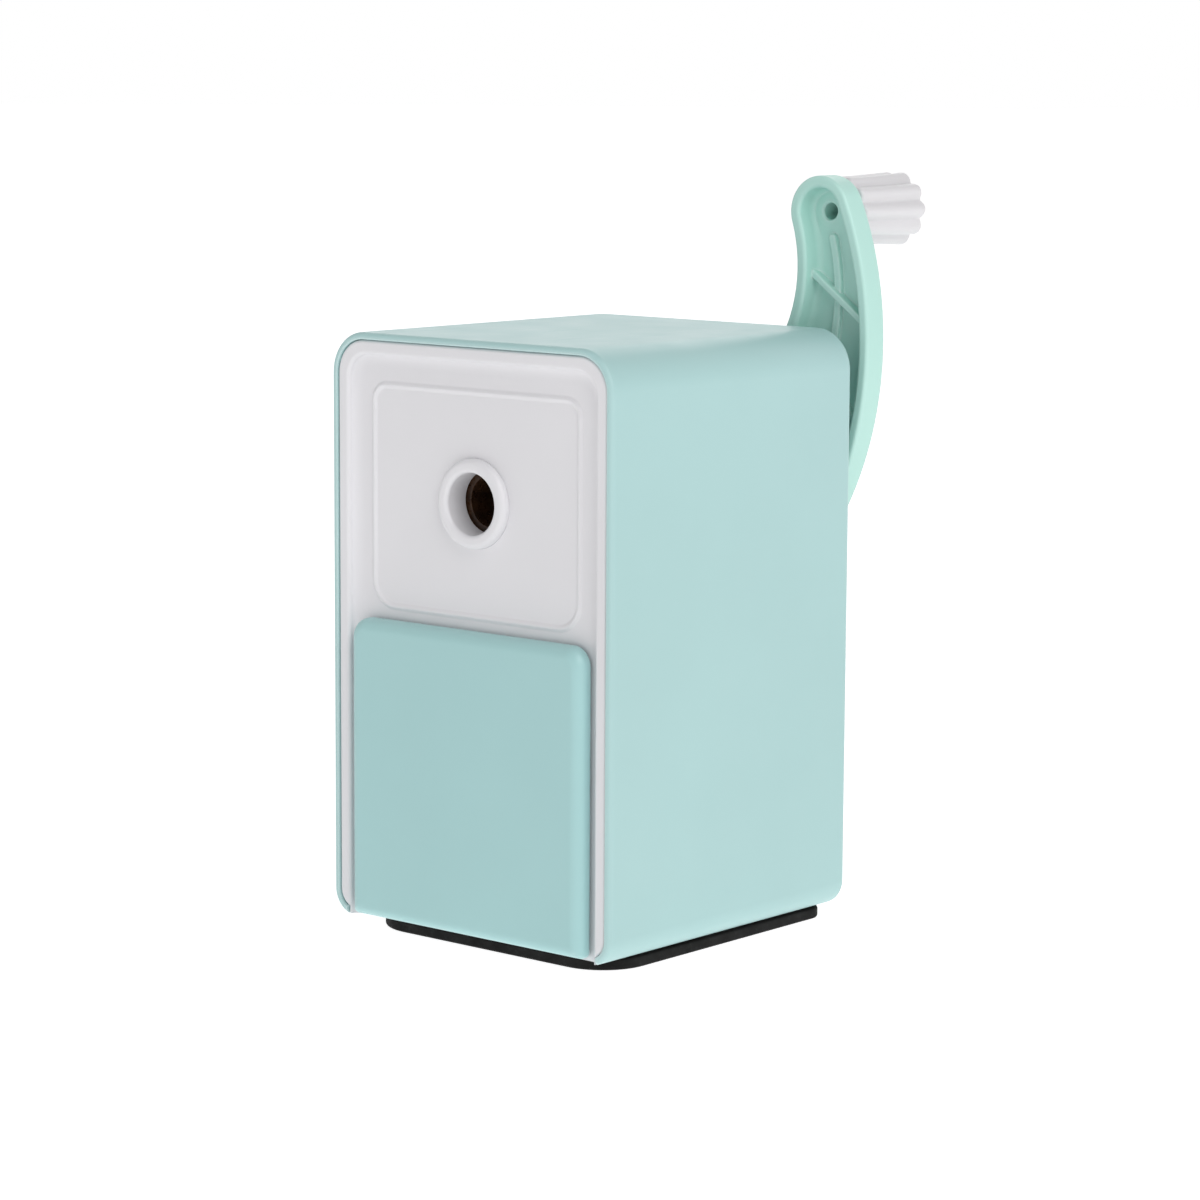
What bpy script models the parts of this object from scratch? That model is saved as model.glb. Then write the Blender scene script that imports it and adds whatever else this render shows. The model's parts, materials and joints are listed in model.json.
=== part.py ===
"""Hand-cranked pencil sharpener with a planetary helical cutter and a shavings drawer.

Frame: +Z up, the pencil goes in from the front (-Y) and the crank is at the rear (+Y).
The origin is the middle of the pad's underside. Sizes below are in millimetres.
"""

from math import acos, atan2, cos, hypot, pi, radians, sin, sqrt, tan

import bmesh
import bpy
from mathutils import Matrix, Vector

MM = 0.001
GAP = 0.3  # clearance left between neighbouring pieces

# Shell
SHELL_W = 62.0
SHELL_D = 63.0
SHELL_H = 100.0
WALL = 1.8
REAR_WALL = 2.0
TOP_R = 7.0
FOOT_R = 4.5
FOOT_HALF = 28.0
PAD_T = 2.0

# Pencil, shaft and crank share this height above the pad's underside
AXIS_Z = 75.3

# Front panel
FIELD_DEPTH = 1.9
FIELD_T = 2.0
RIM_W = 2.3
SKIRT_END = -24.0
OPENING_W = 49.2
OPENING_TOP = 50.3
POST_X = 24.8
POST_Z = (60.0, 92.0)
POST_R = 3.0

# Drawer
DRAWER_W = 51.5
DRAWER_TOP = 54.3
DRAWER_T = 3.2
BIN_W = 48.4
BIN_TOP = 49.9
BIN_REAR = 20.0
BIN_WALL = 1.6

# Cutter head: an internal bevel ring gear and a pinion whose cones share one apex
HEAD_Y = -18.2
TILT = radians(10.5)
CUTTER_OFFSET = 9.9
RING_TEETH = 36
PINION_TEETH = 12
PRESSURE = radians(25.0)
CUTTER_R = 5.5
CARRIER_R = 12.9
HOUSING_R = 20.6
HOUSING_END = 15.0

# Drive
SHAFT_R = 3.0
ARM_RIM_Y = 34.5
ARM_BACK_Y = 40.0
CRANK_R = 51.0
CRANK_LEAN = radians(24.3)
ARM_HUB_R = 18.0
ARM_BOSS_R = 6.2
ARM_BACK_R = 61.8
ARM_WAIST_R = 24.5
SPIGOT_R = 2.5
SPIGOT_L = 14.0
KNOB_L = 17.5
KNOB_LOBES = 10

HALF_W = SHELL_W / 2
FRONT = -SHELL_D / 2
REAR = SHELL_D / 2
FLOOR_Z = PAD_T + GAP
ROOF_Z = FLOOR_Z + SHELL_H
FIELD_Y = FRONT + FIELD_DEPTH
PANEL_BACK = FIELD_Y + FIELD_T
KNOB_X = CRANK_R * sin(CRANK_LEAN)
KNOB_Z = AXIS_Z + CRANK_R * cos(CRANK_LEAN)
ARM_HUB = (3.6, AXIS_Z - 4.0)
ARM_BOSS = (KNOB_X, KNOB_Z)

COLOURS = {
    "mint_plastic": ((183, 217, 216), 0.42, 0.0),
    "mint_arm_plastic": ((190, 228, 218), 0.40, 0.0),
    "white_plastic": ((222, 221, 224), 0.38, 0.0),
    "knob_plastic": ((232, 230, 232), 0.45, 0.0),
    "dark_plastic": ((46, 36, 30), 0.50, 0.0),
    "black_rubber": ((18, 18, 18), 0.85, 0.0),
    "steel": ((176, 178, 182), 0.32, 1.0),
    "brass": ((190, 158, 96), 0.35, 1.0),
}


# Scene set-up

for old in list(bpy.data.objects):
    bpy.data.objects.remove(old, do_unlink=True)

parts = bpy.data.collections.new("pencil_sharpener")
cutters = bpy.data.collections.new("cutters")
bpy.context.scene.collection.children.link(parts)
bpy.context.scene.collection.children.link(cutters)


def linear(channel):
    c = channel / 255.0
    return c / 12.92 if c <= 0.04045 else ((c + 0.055) / 1.055) ** 2.4


def material(name):
    made = bpy.data.materials.get(name)
    if made:
        return made
    colour, roughness, metallic = COLOURS[name]
    made = bpy.data.materials.new(name)
    made.use_nodes = True
    shader = made.node_tree.nodes["Principled BSDF"]
    shader.inputs["Base Color"].default_value = (*[linear(c) for c in colour], 1.0)
    shader.inputs["Roughness"].default_value = roughness
    shader.inputs["Metallic"].default_value = metallic
    return made


# Outlines, as lists of (x, z) points in millimetres


def arc(cx, cz, radius, start, end, steps):
    """Points on an arc from one angle to another, both ends included."""
    angles = [start + (end - start) * i / steps for i in range(steps + 1)]
    return [(cx + radius * cos(a), cz + radius * sin(a)) for a in angles]


def rounded_rect(half_w, low, high, foot_r, top_r, steps=5):
    """A rectangle about x = 0 with its own corner radius at the foot and the top."""
    right, quarter = half_w, pi / 2
    points = arc(right - foot_r, low + foot_r, foot_r, -quarter, 0, steps)
    points += arc(right - top_r, high - top_r, top_r, 0, quarter, steps)
    points += arc(top_r - right, high - top_r, top_r, quarter, pi, steps)
    points += arc(foot_r - right, low + foot_r, foot_r, pi, 3 * quarter, steps)
    return points


# Makers: each returns an object whose mesh is in metres about its own origin


def finish(mesh, name, origin=(0, 0, 0), colour=None):
    """Make the object, in the parts collection if it has a colour, else a guide."""
    place = Vector(origin) * MM
    mesh.transform(Matrix.Translation(-place))
    made = bpy.data.objects.new(name, mesh)
    made.location = place
    if colour:
        parts.objects.link(made)
        mesh.materials.clear()
        mesh.materials.append(material(colour))
        mesh.shade_smooth()
        mesh.set_sharp_from_angle(angle=radians(35))
    else:
        cutters.objects.link(made)
        made.hide_render = True
        made.display_type = "WIRE"
    return made


def plate(name, outline, y0, y1, origin=(0, 0, 0), colour=None):
    """A flat outline in the XZ plane, made solid from y0 to y1."""
    curve = bpy.data.curves.new(name, "CURVE")
    curve.dimensions = "2D"
    curve.fill_mode = "BOTH"
    curve.extrude = (y1 - y0) / 2 * MM
    spline = curve.splines.new("POLY")
    spline.points.add(len(outline) - 1)
    for point, (x, z) in zip(spline.points, outline):
        point.co = (x * MM, z * MM, 0, 1)
    spline.use_cyclic_u = True
    drawn = bpy.data.objects.new(name, curve)
    drawn.matrix_world = Matrix.Translation((0, (y0 + y1) / 2 * MM, 0)) @ Matrix.Rotation(
        radians(90), 4, "X"
    )
    bpy.context.scene.collection.objects.link(drawn)
    bpy.context.view_layer.update()
    graph = bpy.context.evaluated_depsgraph_get()
    mesh = bpy.data.meshes.new_from_object(drawn.evaluated_get(graph))
    mesh.transform(drawn.matrix_world)
    bpy.data.objects.remove(drawn, do_unlink=True)
    shape = bmesh.new()
    shape.from_mesh(mesh)
    bmesh.ops.remove_doubles(shape, verts=shape.verts, dist=1e-6)
    bmesh.ops.dissolve_limit(
        shape, angle_limit=radians(1), verts=shape.verts, edges=shape.edges
    )
    bmesh.ops.recalc_face_normals(shape, faces=shape.faces)
    shape.to_mesh(mesh)
    shape.free()
    return finish(mesh, name, origin, colour)


def cone(name, r0, r1, y0, y1, at=(0, AXIS_Z), steps=32, origin=None, colour=None):
    """A cone or cylinder along Y, of radius r0 at y0 and r1 at y1."""
    shape = bmesh.new()
    bmesh.ops.create_cone(
        shape,
        cap_ends=True,
        segments=steps,
        radius1=r0 * MM,
        radius2=r1 * MM,
        depth=(y1 - y0) * MM,
        matrix=Matrix.Translation(Vector((at[0], (y0 + y1) / 2, at[1])) * MM)
        @ Matrix.Rotation(radians(-90), 4, "X"),
    )
    mesh = bpy.data.meshes.new(name)
    shape.to_mesh(mesh)
    shape.free()
    return finish(mesh, name, origin or (at[0], 0, at[1]), colour)


def rod(name, radius, y0, y1, at=(0, AXIS_Z), steps=32, origin=None, colour=None):
    return cone(name, radius, radius, y0, y1, at, steps, origin, colour)


def box(name, x0, x1, y0, y1, z0, z1, colour=None):
    shape = bmesh.new()
    size = Matrix.Diagonal((x1 - x0, y1 - y0, z1 - z0, 1))
    middle = Vector(((x0 + x1) / 2, (y0 + y1) / 2, (z0 + z1) / 2)) * MM
    scaled = Matrix.Translation(middle) @ size @ Matrix.Scale(MM, 4)
    bmesh.ops.create_cube(shape, size=1.0, matrix=scaled)
    mesh = bpy.data.meshes.new(name)
    shape.to_mesh(mesh)
    shape.free()
    return finish(mesh, name, middle / MM, colour)


def turned(name, profile, at=(0, AXIS_Z), steps=32, colour=None):
    """A profile of (radius, y) points, given from rear to front, turned about Y."""
    mesh = bpy.data.meshes.new(name)
    shape = bmesh.new()
    ring = [shape.verts.new((r * MM, 0, y * MM)) for r, y in profile]
    closed = profile[0][0] > 0 and profile[-1][0] > 0
    pairs = zip(ring, ring[1:] + ring[:1]) if closed else zip(ring, ring[1:])
    for a, b in pairs:
        shape.edges.new((a, b))
    shape.to_mesh(mesh)
    shape.free()
    made = finish(mesh, name, (0, 0, 0), colour)
    made.matrix_world = Matrix.Translation(Vector((at[0], 0, at[1])) * MM) @ Matrix.Rotation(
        radians(-90), 4, "X"
    )
    screw = made.modifiers.new("Turn", "SCREW")
    screw.steps = steps
    screw.render_steps = steps
    screw.merge_threshold = 0.00001
    screw.use_merge_vertices = True
    screw.use_smooth_shade = True
    return made


def soften(made, y, width, steps=3):
    """Round the edges around the flat face at this y."""
    shape = bmesh.new()
    shape.from_mesh(made.data)
    level = y * MM - made.location.y
    rim = [
        edge
        for edge in shape.edges
        if all(abs(v.co.y - level) < 1e-6 for v in edge.verts)
        and edge.calc_face_angle(0) > radians(60)
    ]
    bmesh.ops.bevel(
        shape,
        geom=rim,
        offset=width * MM,
        segments=steps,
        profile=0.5,
        affect="EDGES",
        clamp_overlap=True,
    )
    shape.to_mesh(made.data)
    shape.free()
    made.data.shade_smooth()
    made.data.set_sharp_from_angle(angle=radians(35))
    return made


def combine(made, operation, others):
    for other in others:
        step = made.modifiers.new(f"{operation.title()} {other.name}", "BOOLEAN")
        step.operation = operation
        step.solver = "EXACT"
        step.object = other
    return made


def cut(made, *others):
    return combine(made, "DIFFERENCE", others)


def join(made, *others):
    return combine(made, "UNION", others)


def at_each(xs, zs):
    return [(x, z) for x in xs for z in zs]


# Shell, base and pad


def make_shell():
    shell = plate(
        "outer_shell",
        rounded_rect(HALF_W, FLOOR_Z, ROOF_Z, FOOT_R, TOP_R, 6),
        FRONT,
        REAR,
        colour="mint_plastic",
    )
    soften(shell, FRONT, 0.8, 2)
    soften(shell, REAR, 1.0, 2)
    cavity = rounded_rect(
        HALF_W - WALL, FLOOR_Z + WALL, ROOF_Z - WALL, FOOT_R - WALL, TOP_R - WALL, 6
    )
    cut(shell, plate("cut_cavity", cavity, FRONT - 8, REAR - REAR_WALL))
    cut(shell, box("cut_foot", -FOOT_HALF, FOOT_HALF, FRONT - 8, REAR - 3, 0, 6))
    for i, (x, z) in enumerate(at_each((-POST_X, POST_X), POST_Z)):
        join(shell, rod(f"add_cup_{i}", 4.6, REAR - 4.2, REAR - 1, (x, z), 20))
        cut(shell, rod(f"cut_cup_{i}", 3.1, REAR - 2.2, REAR + 2, (x, z), 20))
        cut(shell, rod(f"cut_cup_hole_{i}", 1.7, REAR - 6, REAR, (x, z), 16))
    for side in (-1, 1):
        x0, x1 = sorted((side * 18.5, side * 25.5))
        join(shell, box(f"add_foot_boss_{side}", x0, x1, 21.9, REAR - 1, 4.4, 14))
        hole = box(f"cut_foot_hole_{side}", x0 + 2, x1 - 2, 23.5, 26.5, 4, 12)
        cut(shell, hole)
    cut(shell, rod("cut_bush_seat", 4.9, REAR - 6, REAR + 2))
    return shell


def upright(name, radius, z0, z1, x, y, colour=None, steps=20):
    """A cylinder along Z."""
    made = rod(name, radius, z0, z1, (0, 0), steps, colour=colour)
    made.data.transform(Matrix.Rotation(radians(90), 4, "X"))
    made.location = Vector((x, y, 0)) * MM
    return made


def make_base():
    base = box("base_plate", -26.3, 26.3, -27.3, 28.2, FLOOR_Z, FLOOR_Z + WALL, "white_plastic")
    for side in (-1, 1):
        x0, x1 = sorted((side * 14, side * 16))
        join(base, box(f"add_runner_{side}", x0, x1, -23, 20, FLOOR_Z + 1, 6.4))
        cut(base, upright(f"cut_base_head_{side}", 2.7, 0, 3.2, side * 22, 25))
        cut(base, upright(f"cut_base_hole_{side}", 1.5, 2, 6, side * 22, 25))
    pad = plate("base_pad", rounded_rect(27.6, -30.3, 27.7, 3, 9, 6), 0, PAD_T, colour="black_rubber")
    pad.data.transform(Matrix.Rotation(radians(90), 4, "X"))
    return base, pad


# Front panel and nozzle


def make_panel():
    side = HALF_W - WALL - GAP
    front = FRONT + 0.2
    panel = plate(
        "front_panel",
        rounded_rect(side, FLOOR_Z + WALL + GAP, ROOF_Z - WALL - GAP, 2.4, TOP_R - WALL - GAP, 6),
        front,
        SKIRT_END,
        colour="white_plastic",
    )
    soften(panel, front, 0.5, 2)
    foot = FOOT_HALF - GAP
    join(panel, box("add_panel_foot", -foot, foot, front, PANEL_BACK, FLOOR_Z + 0.2, 12))
    pocket = rounded_rect(side - RIM_W, FLOOR_Z, ROOF_Z - WALL - GAP - RIM_W, 2.2, 3.4, 5)
    cove = soften(plate("cut_field", pocket, front - 6, FIELD_Y), FIELD_Y, 1.5, 3)
    cut(panel, cove)
    back = rounded_rect(side - 2, 6.4, ROOF_Z - WALL - GAP - 2, 1.5, 3, 4)
    cut(panel, plate("cut_panel_back", back, PANEL_BACK, SKIRT_END + 6))
    half = OPENING_W / 2
    cut(panel, box("cut_drawer_way", -half, half, front - 6, SKIRT_END + 6, 6.4, OPENING_TOP))
    bead = plate("add_bead", rounded_rect(23.2, 56.0, 94.0, 5, 3, 5), FIELD_Y - 0.35, FIELD_Y + 0.5)
    inner = rounded_rect(22.3, 56.9, 93.1, 4.1, 2.1, 5)
    cut(bead, plate("cut_bead", inner, FIELD_Y - 2, FIELD_Y + 2))
    join(panel, bead)
    for i, (x, z) in enumerate(at_each((-POST_X, POST_X), POST_Z)):
        join(panel, rod(f"add_post_{i}", POST_R, PANEL_BACK - 0.5, REAR - 4.5, (x, z), 20))
        cut(panel, rod(f"cut_post_{i}", 1.6, 14, REAR, (x, z), 12))
    for i, (x, z) in enumerate(flange_corners()):
        join(panel, rod(f"add_boss_{i}", 2.9, PANEL_BACK - 0.5, -26.3, (x, z), 16))
        cut(panel, rod(f"cut_boss_{i}", 1.5, -28.5, -20, (x, z), 12))
    cut(panel, rod("cut_nozzle_seat", 7.8, FIELD_Y - 4, FIELD_Y + 1, steps=40))
    cut(panel, rod("cut_nozzle_way", 6.5, FIELD_Y - 4, PANEL_BACK + 4, steps=40))
    return panel


def make_nozzle():
    lip = FIELD_Y - 1.1
    bore = 5.15
    turns = (0, pi / 6, pi / 3, pi / 2)
    outside = [(6.5 + cos(a), lip + 1.0 - sin(a)) for a in turns]
    inside = [(bore + 0.7 - 0.7 * sin(a), lip + 0.7 - 0.7 * cos(a)) for a in turns]
    profile = [(bore, -26.2), (6.2, -26.2), (6.2, FIELD_Y + 0.7), (7.5, FIELD_Y + 0.7)]
    return turned("pencil_guide_ring", profile + outside + inside, steps=32, colour="white_plastic")


# Gear housing


def flange_corners():
    reach = 17.6
    return at_each((-reach, reach), (AXIS_Z - reach, AXIS_Z + reach))


def make_housing():
    half = 21.0
    housing = plate(
        "gear_housing",
        rounded_rect(half, AXIS_Z - half, AXIS_Z + half, 3.2, 3.2, 4),
        -26.0,
        -23.5,
        colour="white_plastic",
    )
    join(housing, rod("add_tube", HOUSING_R, -24.0, HOUSING_END, steps=48))
    cut(housing, rod("cut_tube", HOUSING_R - 1.7, -20.5, HOUSING_END + 4, steps=48))
    cut(housing, rod("cut_tube_front", 16.8, -23.5, -20, steps=48))
    cut(housing, rod("cut_neck", 7.8, -30, -22, steps=40))
    cut(housing, box("cut_shavings_window", -9, 9, -15, 11, 48, AXIS_Z - 8))
    for i, (x, z) in enumerate(flange_corners()):
        cut(housing, rod(f"cut_flange_hole_{i}", 1.5, -30, -20, (x, z), 12))
    spigot = [(6.3, 17.0), (HOUSING_R, 17.0), (HOUSING_R, HOUSING_END + GAP)]
    spigot += [(18.6, HOUSING_END + GAP), (18.6, 13.0), (17.0, 13.0), (17.0, HOUSING_END + GAP)]
    cap = turned("housing_cap", [*spigot, (6.3, HOUSING_END + GAP)], steps=36, colour="white_plastic")
    return housing, cap


# Cutter head

APEX_L = CUTTER_OFFSET / tan(TILT)  # from the gear plane to the cones' apex, along the axis
PINION_L = CUTTER_OFFSET / sin(TILT)
PINION_CONE = atan2(sin(TILT), RING_TEETH / PINION_TEETH - cos(TILT))
RING_CONE = PINION_CONE + TILT


def gear_outline(teeth, pitch_r, inner_r, outer_r, slack):
    """Involute teeth between two radii, with one tooth pointing down."""
    base_r = pitch_r * cos(PRESSURE)
    involute = tan(PRESSURE) - PRESSURE

    def half_angle(radius):
        pressure = acos(min(1.0, base_r / radius))
        return pi / 2 / teeth + slack / 2 / pitch_r + involute - tan(pressure) + pressure

    radii = [inner_r, pitch_r, outer_r] if teeth > 20 else [inner_r, base_r, pitch_r, outer_r]
    points = []
    for tooth in range(teeth):
        middle = -pi / 2 + 2 * pi * tooth / teeth
        up = [(r, middle - half_angle(r)) for r in radii]
        down = [(r, middle + half_angle(r)) for r in reversed(radii)]
        points += [(r * cos(a), r * sin(a)) for r, a in up + down]
    return points


def toothed_cone(name, outline, apex, y0, y1, colour=None):
    """An outline about Y, tapering towards an apex on the axis, from y0 to y1."""
    made = plate(name, outline, y0, y1, colour=colour)
    for vertex in made.data.vertices:
        scale = (apex - vertex.co.y / MM) / apex
        vertex.co.x *= scale
        vertex.co.z *= scale
    return made


def make_ring_gear():
    pitch = APEX_L * tan(RING_CONE)
    module = 2 * pitch / RING_TEETH
    space = gear_outline(RING_TEETH, pitch, pitch - 0.75 * module, pitch + 1.25 * module, 0.14)
    front, back = HEAD_Y - 2.0, HEAD_Y + 2.3
    ring = rod("ring_gear", 18.6, front, back, steps=48, colour="steel")
    teeth = toothed_cone("cut_ring_teeth", space, APEX_L, -3.0, 3.3)
    teeth.location = Vector((0, HEAD_Y, AXIS_Z)) * MM
    return cut(ring, teeth)


def slanted(made, along=0.0):
    """Put an object made about Y on the cutter's slanted axis."""
    shift = Matrix.Translation(Vector((0, along, 0)) * MM)
    middle = Matrix.Translation(Vector((0, HEAD_Y, AXIS_Z - CUTTER_OFFSET)) * MM)
    made.matrix_world = middle @ Matrix.Rotation(TILT, 4, "X") @ shift
    return made


def make_pinion():
    pitch = PINION_L * tan(PINION_CONE)
    module = 2 * pitch / PINION_TEETH
    outline = gear_outline(PINION_TEETH, pitch, pitch - 1.2 * module, pitch + 0.9 * module, -0.14)
    pinion = toothed_cone("cutter_pinion", outline, PINION_L, -2.1, 2.1, "steel")
    cut(pinion, slanted(rod("cut_pinion_bore", 1.8, -5, 5, (0, 0), 24)))
    return slanted(pinion)


def make_cutter():
    """A milling cutter with ten flutes that wind round it."""
    flutes, length, twist, layers = 10, 20.6, radians(120), 8
    outline = []
    for flute in range(flutes):
        start = 2 * pi * flute / flutes
        for share, radius in ((0.0, CUTTER_R), (0.12, CUTTER_R), (0.2, 4.5), (0.7, 4.7)):
            angle = start + share * 2 * pi / flutes
            outline.append((radius * cos(angle), radius * sin(angle)))
    mesh = bpy.data.meshes.new("helical_cutter")
    shape = bmesh.new()
    ring = [shape.verts.new((x * MM, 0, z * MM)) for x, z in outline]
    floor = shape.faces.new(ring)
    for layer in range(layers):
        lifted = bmesh.ops.extrude_face_region(shape, geom=[floor])["geom"]
        moved = [v for v in lifted if isinstance(v, bmesh.types.BMVert)]
        if layer:
            bmesh.ops.delete(shape, geom=[floor], context="FACES_ONLY")
        step = Matrix.Rotation(twist / layers, 4, "Y")
        step.translation = Vector((0, length / layers * MM, 0))
        bmesh.ops.transform(shape, matrix=step, verts=moved)
        floor = next(f for f in lifted if isinstance(f, bmesh.types.BMFace))
    bmesh.ops.recalc_face_normals(shape, faces=shape.faces)
    shape.to_mesh(mesh)
    shape.free()
    cutter = finish(mesh, "helical_cutter", colour="steel")
    cut(cutter, slanted(rod("cut_cutter_bore", 1.8, -30, 30, (0, 0), 24)))
    return slanted(cutter, 2.9)


def make_carrier():
    """The rotor: pencil bore and cone on the axis, slanted pocket for the cutter."""
    carrier = rod("cutter_carrier", CARRIER_R, -23.2, 11.0, steps=40, colour="dark_plastic")
    join(carrier, rod("add_neck", 7.5, -25.9, -23.0, steps=32))
    join(carrier, rod("add_hub", 6.0, 10.5, 20.2, steps=32))
    profile = [(0, 8), (0.9, 8), (0.9, 6), (4.3, -15.5), (4.3, -30), (0, -30)]
    cut(carrier, turned("cut_pencil_way", profile, steps=32))
    cut(carrier, slanted(rod("cut_pocket", 6.7, -2.6, 24.0, (0, 0), 32)))
    chute = slanted(box("cut_chute", -6.7, 6.7, -2.6, 24.0, -16, 0))
    chute.data.transform(Matrix.Translation(Vector((0, 10.7, -8)) * MM))
    cut(carrier, chute)
    cut(carrier, slanted(rod("cut_axle_way", 1.8, -9, 26.9, (0, 0), 20)))
    cut(carrier, rod("cut_shaft_way", SHAFT_R + GAP, 11.5, 24, steps=24))
    cut(carrier, upright("cut_pin_way", 1.05, AXIS_Z - 10, AXIS_Z + 10, 0, 18.7, steps=12))
    return carrier


# Drive shaft, crank and knob


def make_shaft():
    shaft = rod("drive_shaft", SHAFT_R, 11.8, 39.4, steps=24, colour="steel")
    groove = rod("cut_clip_groove", 5.0, 26.5, 27.9, steps=24)
    cut(groove, rod("keep_groove_core", 2.5, 26, 28.5, steps=24))
    cut(shaft, groove)
    cut(shaft, rod("cut_screw_way", 1.8, 30.5, 42, steps=16))
    cut(shaft, upright("cut_shaft_pin_way", 1.05, AXIS_Z - 8, AXIS_Z + 8, 0, 18.7, steps=12))
    pin = upright("shaft_pin", 0.75, AXIS_Z - 5.6, AXIS_Z + 5.6, 0, 18.7, "steel", 12)
    clip = plate("shaft_clip", clip_outline(), 26.8, 27.6, (0, 0, AXIS_Z), "steel")
    bush_profile = [(3.3, 32.0), (4.6, 32.0), (4.6, 29.2), (6.5, 29.2), (6.5, 28.2), (3.3, 28.2)]
    bush = turned("shaft_bush", bush_profile, steps=28, colour="brass")
    return shaft, pin, clip, bush


def clip_outline():
    """A C-shaped retaining clip, open upwards."""
    mouth = radians(38)
    inner = arc(0, AXIS_Z, 2.8, pi / 2 - mouth, mouth + pi / 2 - 2 * pi, 18)
    outer = arc(0, AXIS_Z, 4.9, mouth + pi / 2 - 2 * pi, pi / 2 - mouth, 18)
    return inner + outer


def meet(c0, r0, c1, r1, side):
    """Where two circles about c0 and c1 cross, on the left (1) or right (-1) of c0 to c1."""
    dx, dz = c1[0] - c0[0], c1[1] - c0[1]
    gap = hypot(dx, dz)
    along = (r0 * r0 - r1 * r1 + gap * gap) / (2 * gap)
    off = side * sqrt(r0 * r0 - along * along)
    return c0[0] + (along * dx - off * dz) / gap, c0[1] + (along * dz + off * dx) / gap


def bearing(origin, target, least=-pi):
    """The direction to a target, as an angle of at least the one given."""
    angle = atan2(target[1] - origin[1], target[0] - origin[0])
    return angle if angle >= least else angle + 2 * pi


def arm_back():
    """Centre, radius and both end angles of the arc along the arm's outer side."""
    centre = meet(ARM_HUB, ARM_BACK_R - ARM_HUB_R, ARM_BOSS, ARM_BACK_R - ARM_BOSS_R, 1)
    return centre, ARM_BACK_R, bearing(centre, ARM_HUB), bearing(centre, ARM_BOSS)


def arm_outline(inset=0.0):
    """A comma of four tangent arcs: broad hub end, long back, small knob end, hollow waist."""
    hub, hub_r, boss, boss_r = ARM_HUB, ARM_HUB_R, ARM_BOSS, ARM_BOSS_R
    waist_r = ARM_WAIST_R
    back, back_r, start, end = arm_back()
    waist = meet(hub, waist_r + hub_r, boss, waist_r + boss_r, 1)
    points = arc(*back, back_r - inset, start, end, 16)
    points += arc(*boss, boss_r - inset, end, bearing(boss, waist, end), 9)[1:]
    points += arc(*waist, waist_r + inset, bearing(waist, boss), bearing(waist, hub), 8)[1:]
    turn = bearing(hub, waist)
    points += arc(*hub, hub_r - inset, turn, bearing(back, hub, turn), 14)[1:-1]
    return points


def make_arm():
    axis = (0, 0, AXIS_Z)
    arm = plate("crank_arm", arm_outline(), ARM_RIM_Y, ARM_BACK_Y, axis, "mint_arm_plastic")
    soften(arm, ARM_BACK_Y, 1.2, 3)
    channel = plate("cut_channel", arm_outline(1.6), ARM_RIM_Y - 3, ARM_BACK_Y - 1.8)
    cut(arm, channel)
    join(arm, rod("add_arm_hub", 6.0, 33.0, ARM_BACK_Y - 1, steps=28))
    join(arm, rod("add_arm_pad", 4.5, ARM_BACK_Y - 2.05, ARM_BACK_Y - 1, ARM_BOSS, 24))
    spigot_end = ARM_BACK_Y + SPIGOT_L
    profile = [(0, spigot_end), (2.3, spigot_end), (2.9, spigot_end - 1.0), (2.9, spigot_end - 1.4)]
    profile += [(SPIGOT_R, spigot_end - 2.0), (SPIGOT_R, ARM_BACK_Y - 1), (0, ARM_BACK_Y - 1)]
    join(arm, turned("add_spigot", profile, ARM_BOSS, 24))
    for i, rib in enumerate(arm_ribs()):
        join(arm, rib)
    cut(arm, rod("cut_arm_hub", SHAFT_R + GAP, 30, ARM_BACK_Y + 3, steps=24))
    cut(arm, rod("cut_spigot_core", 1.45, 30, spigot_end + 3, ARM_BOSS, 16))
    return arm


def rib_outline(start, end, half_t=0.6):
    dx, dz = end[0] - start[0], end[1] - start[1]
    length = hypot(dx, dz)
    nx, nz = -dz / length * half_t, dx / length * half_t
    return [
        (start[0] + nx, start[1] + nz),
        (start[0] - nx, start[1] - nz),
        (end[0] - nx, end[1] - nz),
        (end[0] + nx, end[1] + nz),
    ]


def arm_ribs():
    """One long rib that bows from the knob end into the hub, and two that cross it."""
    centre, radius = (-12.8, AXIS_Z + 32.3), 36.0
    first, last = radians(-58), radians(15.5)
    long_rib = arc(*centre, radius + 0.75, first, last, 14)
    long_rib += arc(*centre, radius - 0.75, last, first, 14)
    across = [
        ((16.6, AXIS_Z + 37.1), (30.9, AXIS_Z + 26.6)),
        ((13.2, AXIS_Z + 23.0), (29.3, AXIS_Z + 9.4)),
    ]
    ribs = [plate("add_long_rib", long_rib, ARM_BACK_Y - 2.7, ARM_BACK_Y - 0.9)]
    for i, pair in enumerate(across):
        ribs.append(plate(f"add_rib_{i}", rib_outline(*pair), ARM_RIM_Y + 1.8 + i / 5, ARM_BACK_Y - 1.1))
    return ribs


def make_crank_fixings():
    washer = turned(
        "crank_washer", [(1.9, 41.0), (5.0, 41.0), (5.0, 40.3), (1.9, 40.3)], steps=28, colour="steel"
    )
    head = [(0, 43.2), (2.0, 43.0), (2.9, 42.4), (3.3, 41.3), (1.5, 41.3), (1.5, 31.0), (0, 31.0)]
    screw = turned("crank_screw", head, steps=24, colour="steel")
    cut(screw, *cross_slot("crank_screw", (0, AXIS_Z), 42.4, 46))
    return washer, screw


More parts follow.
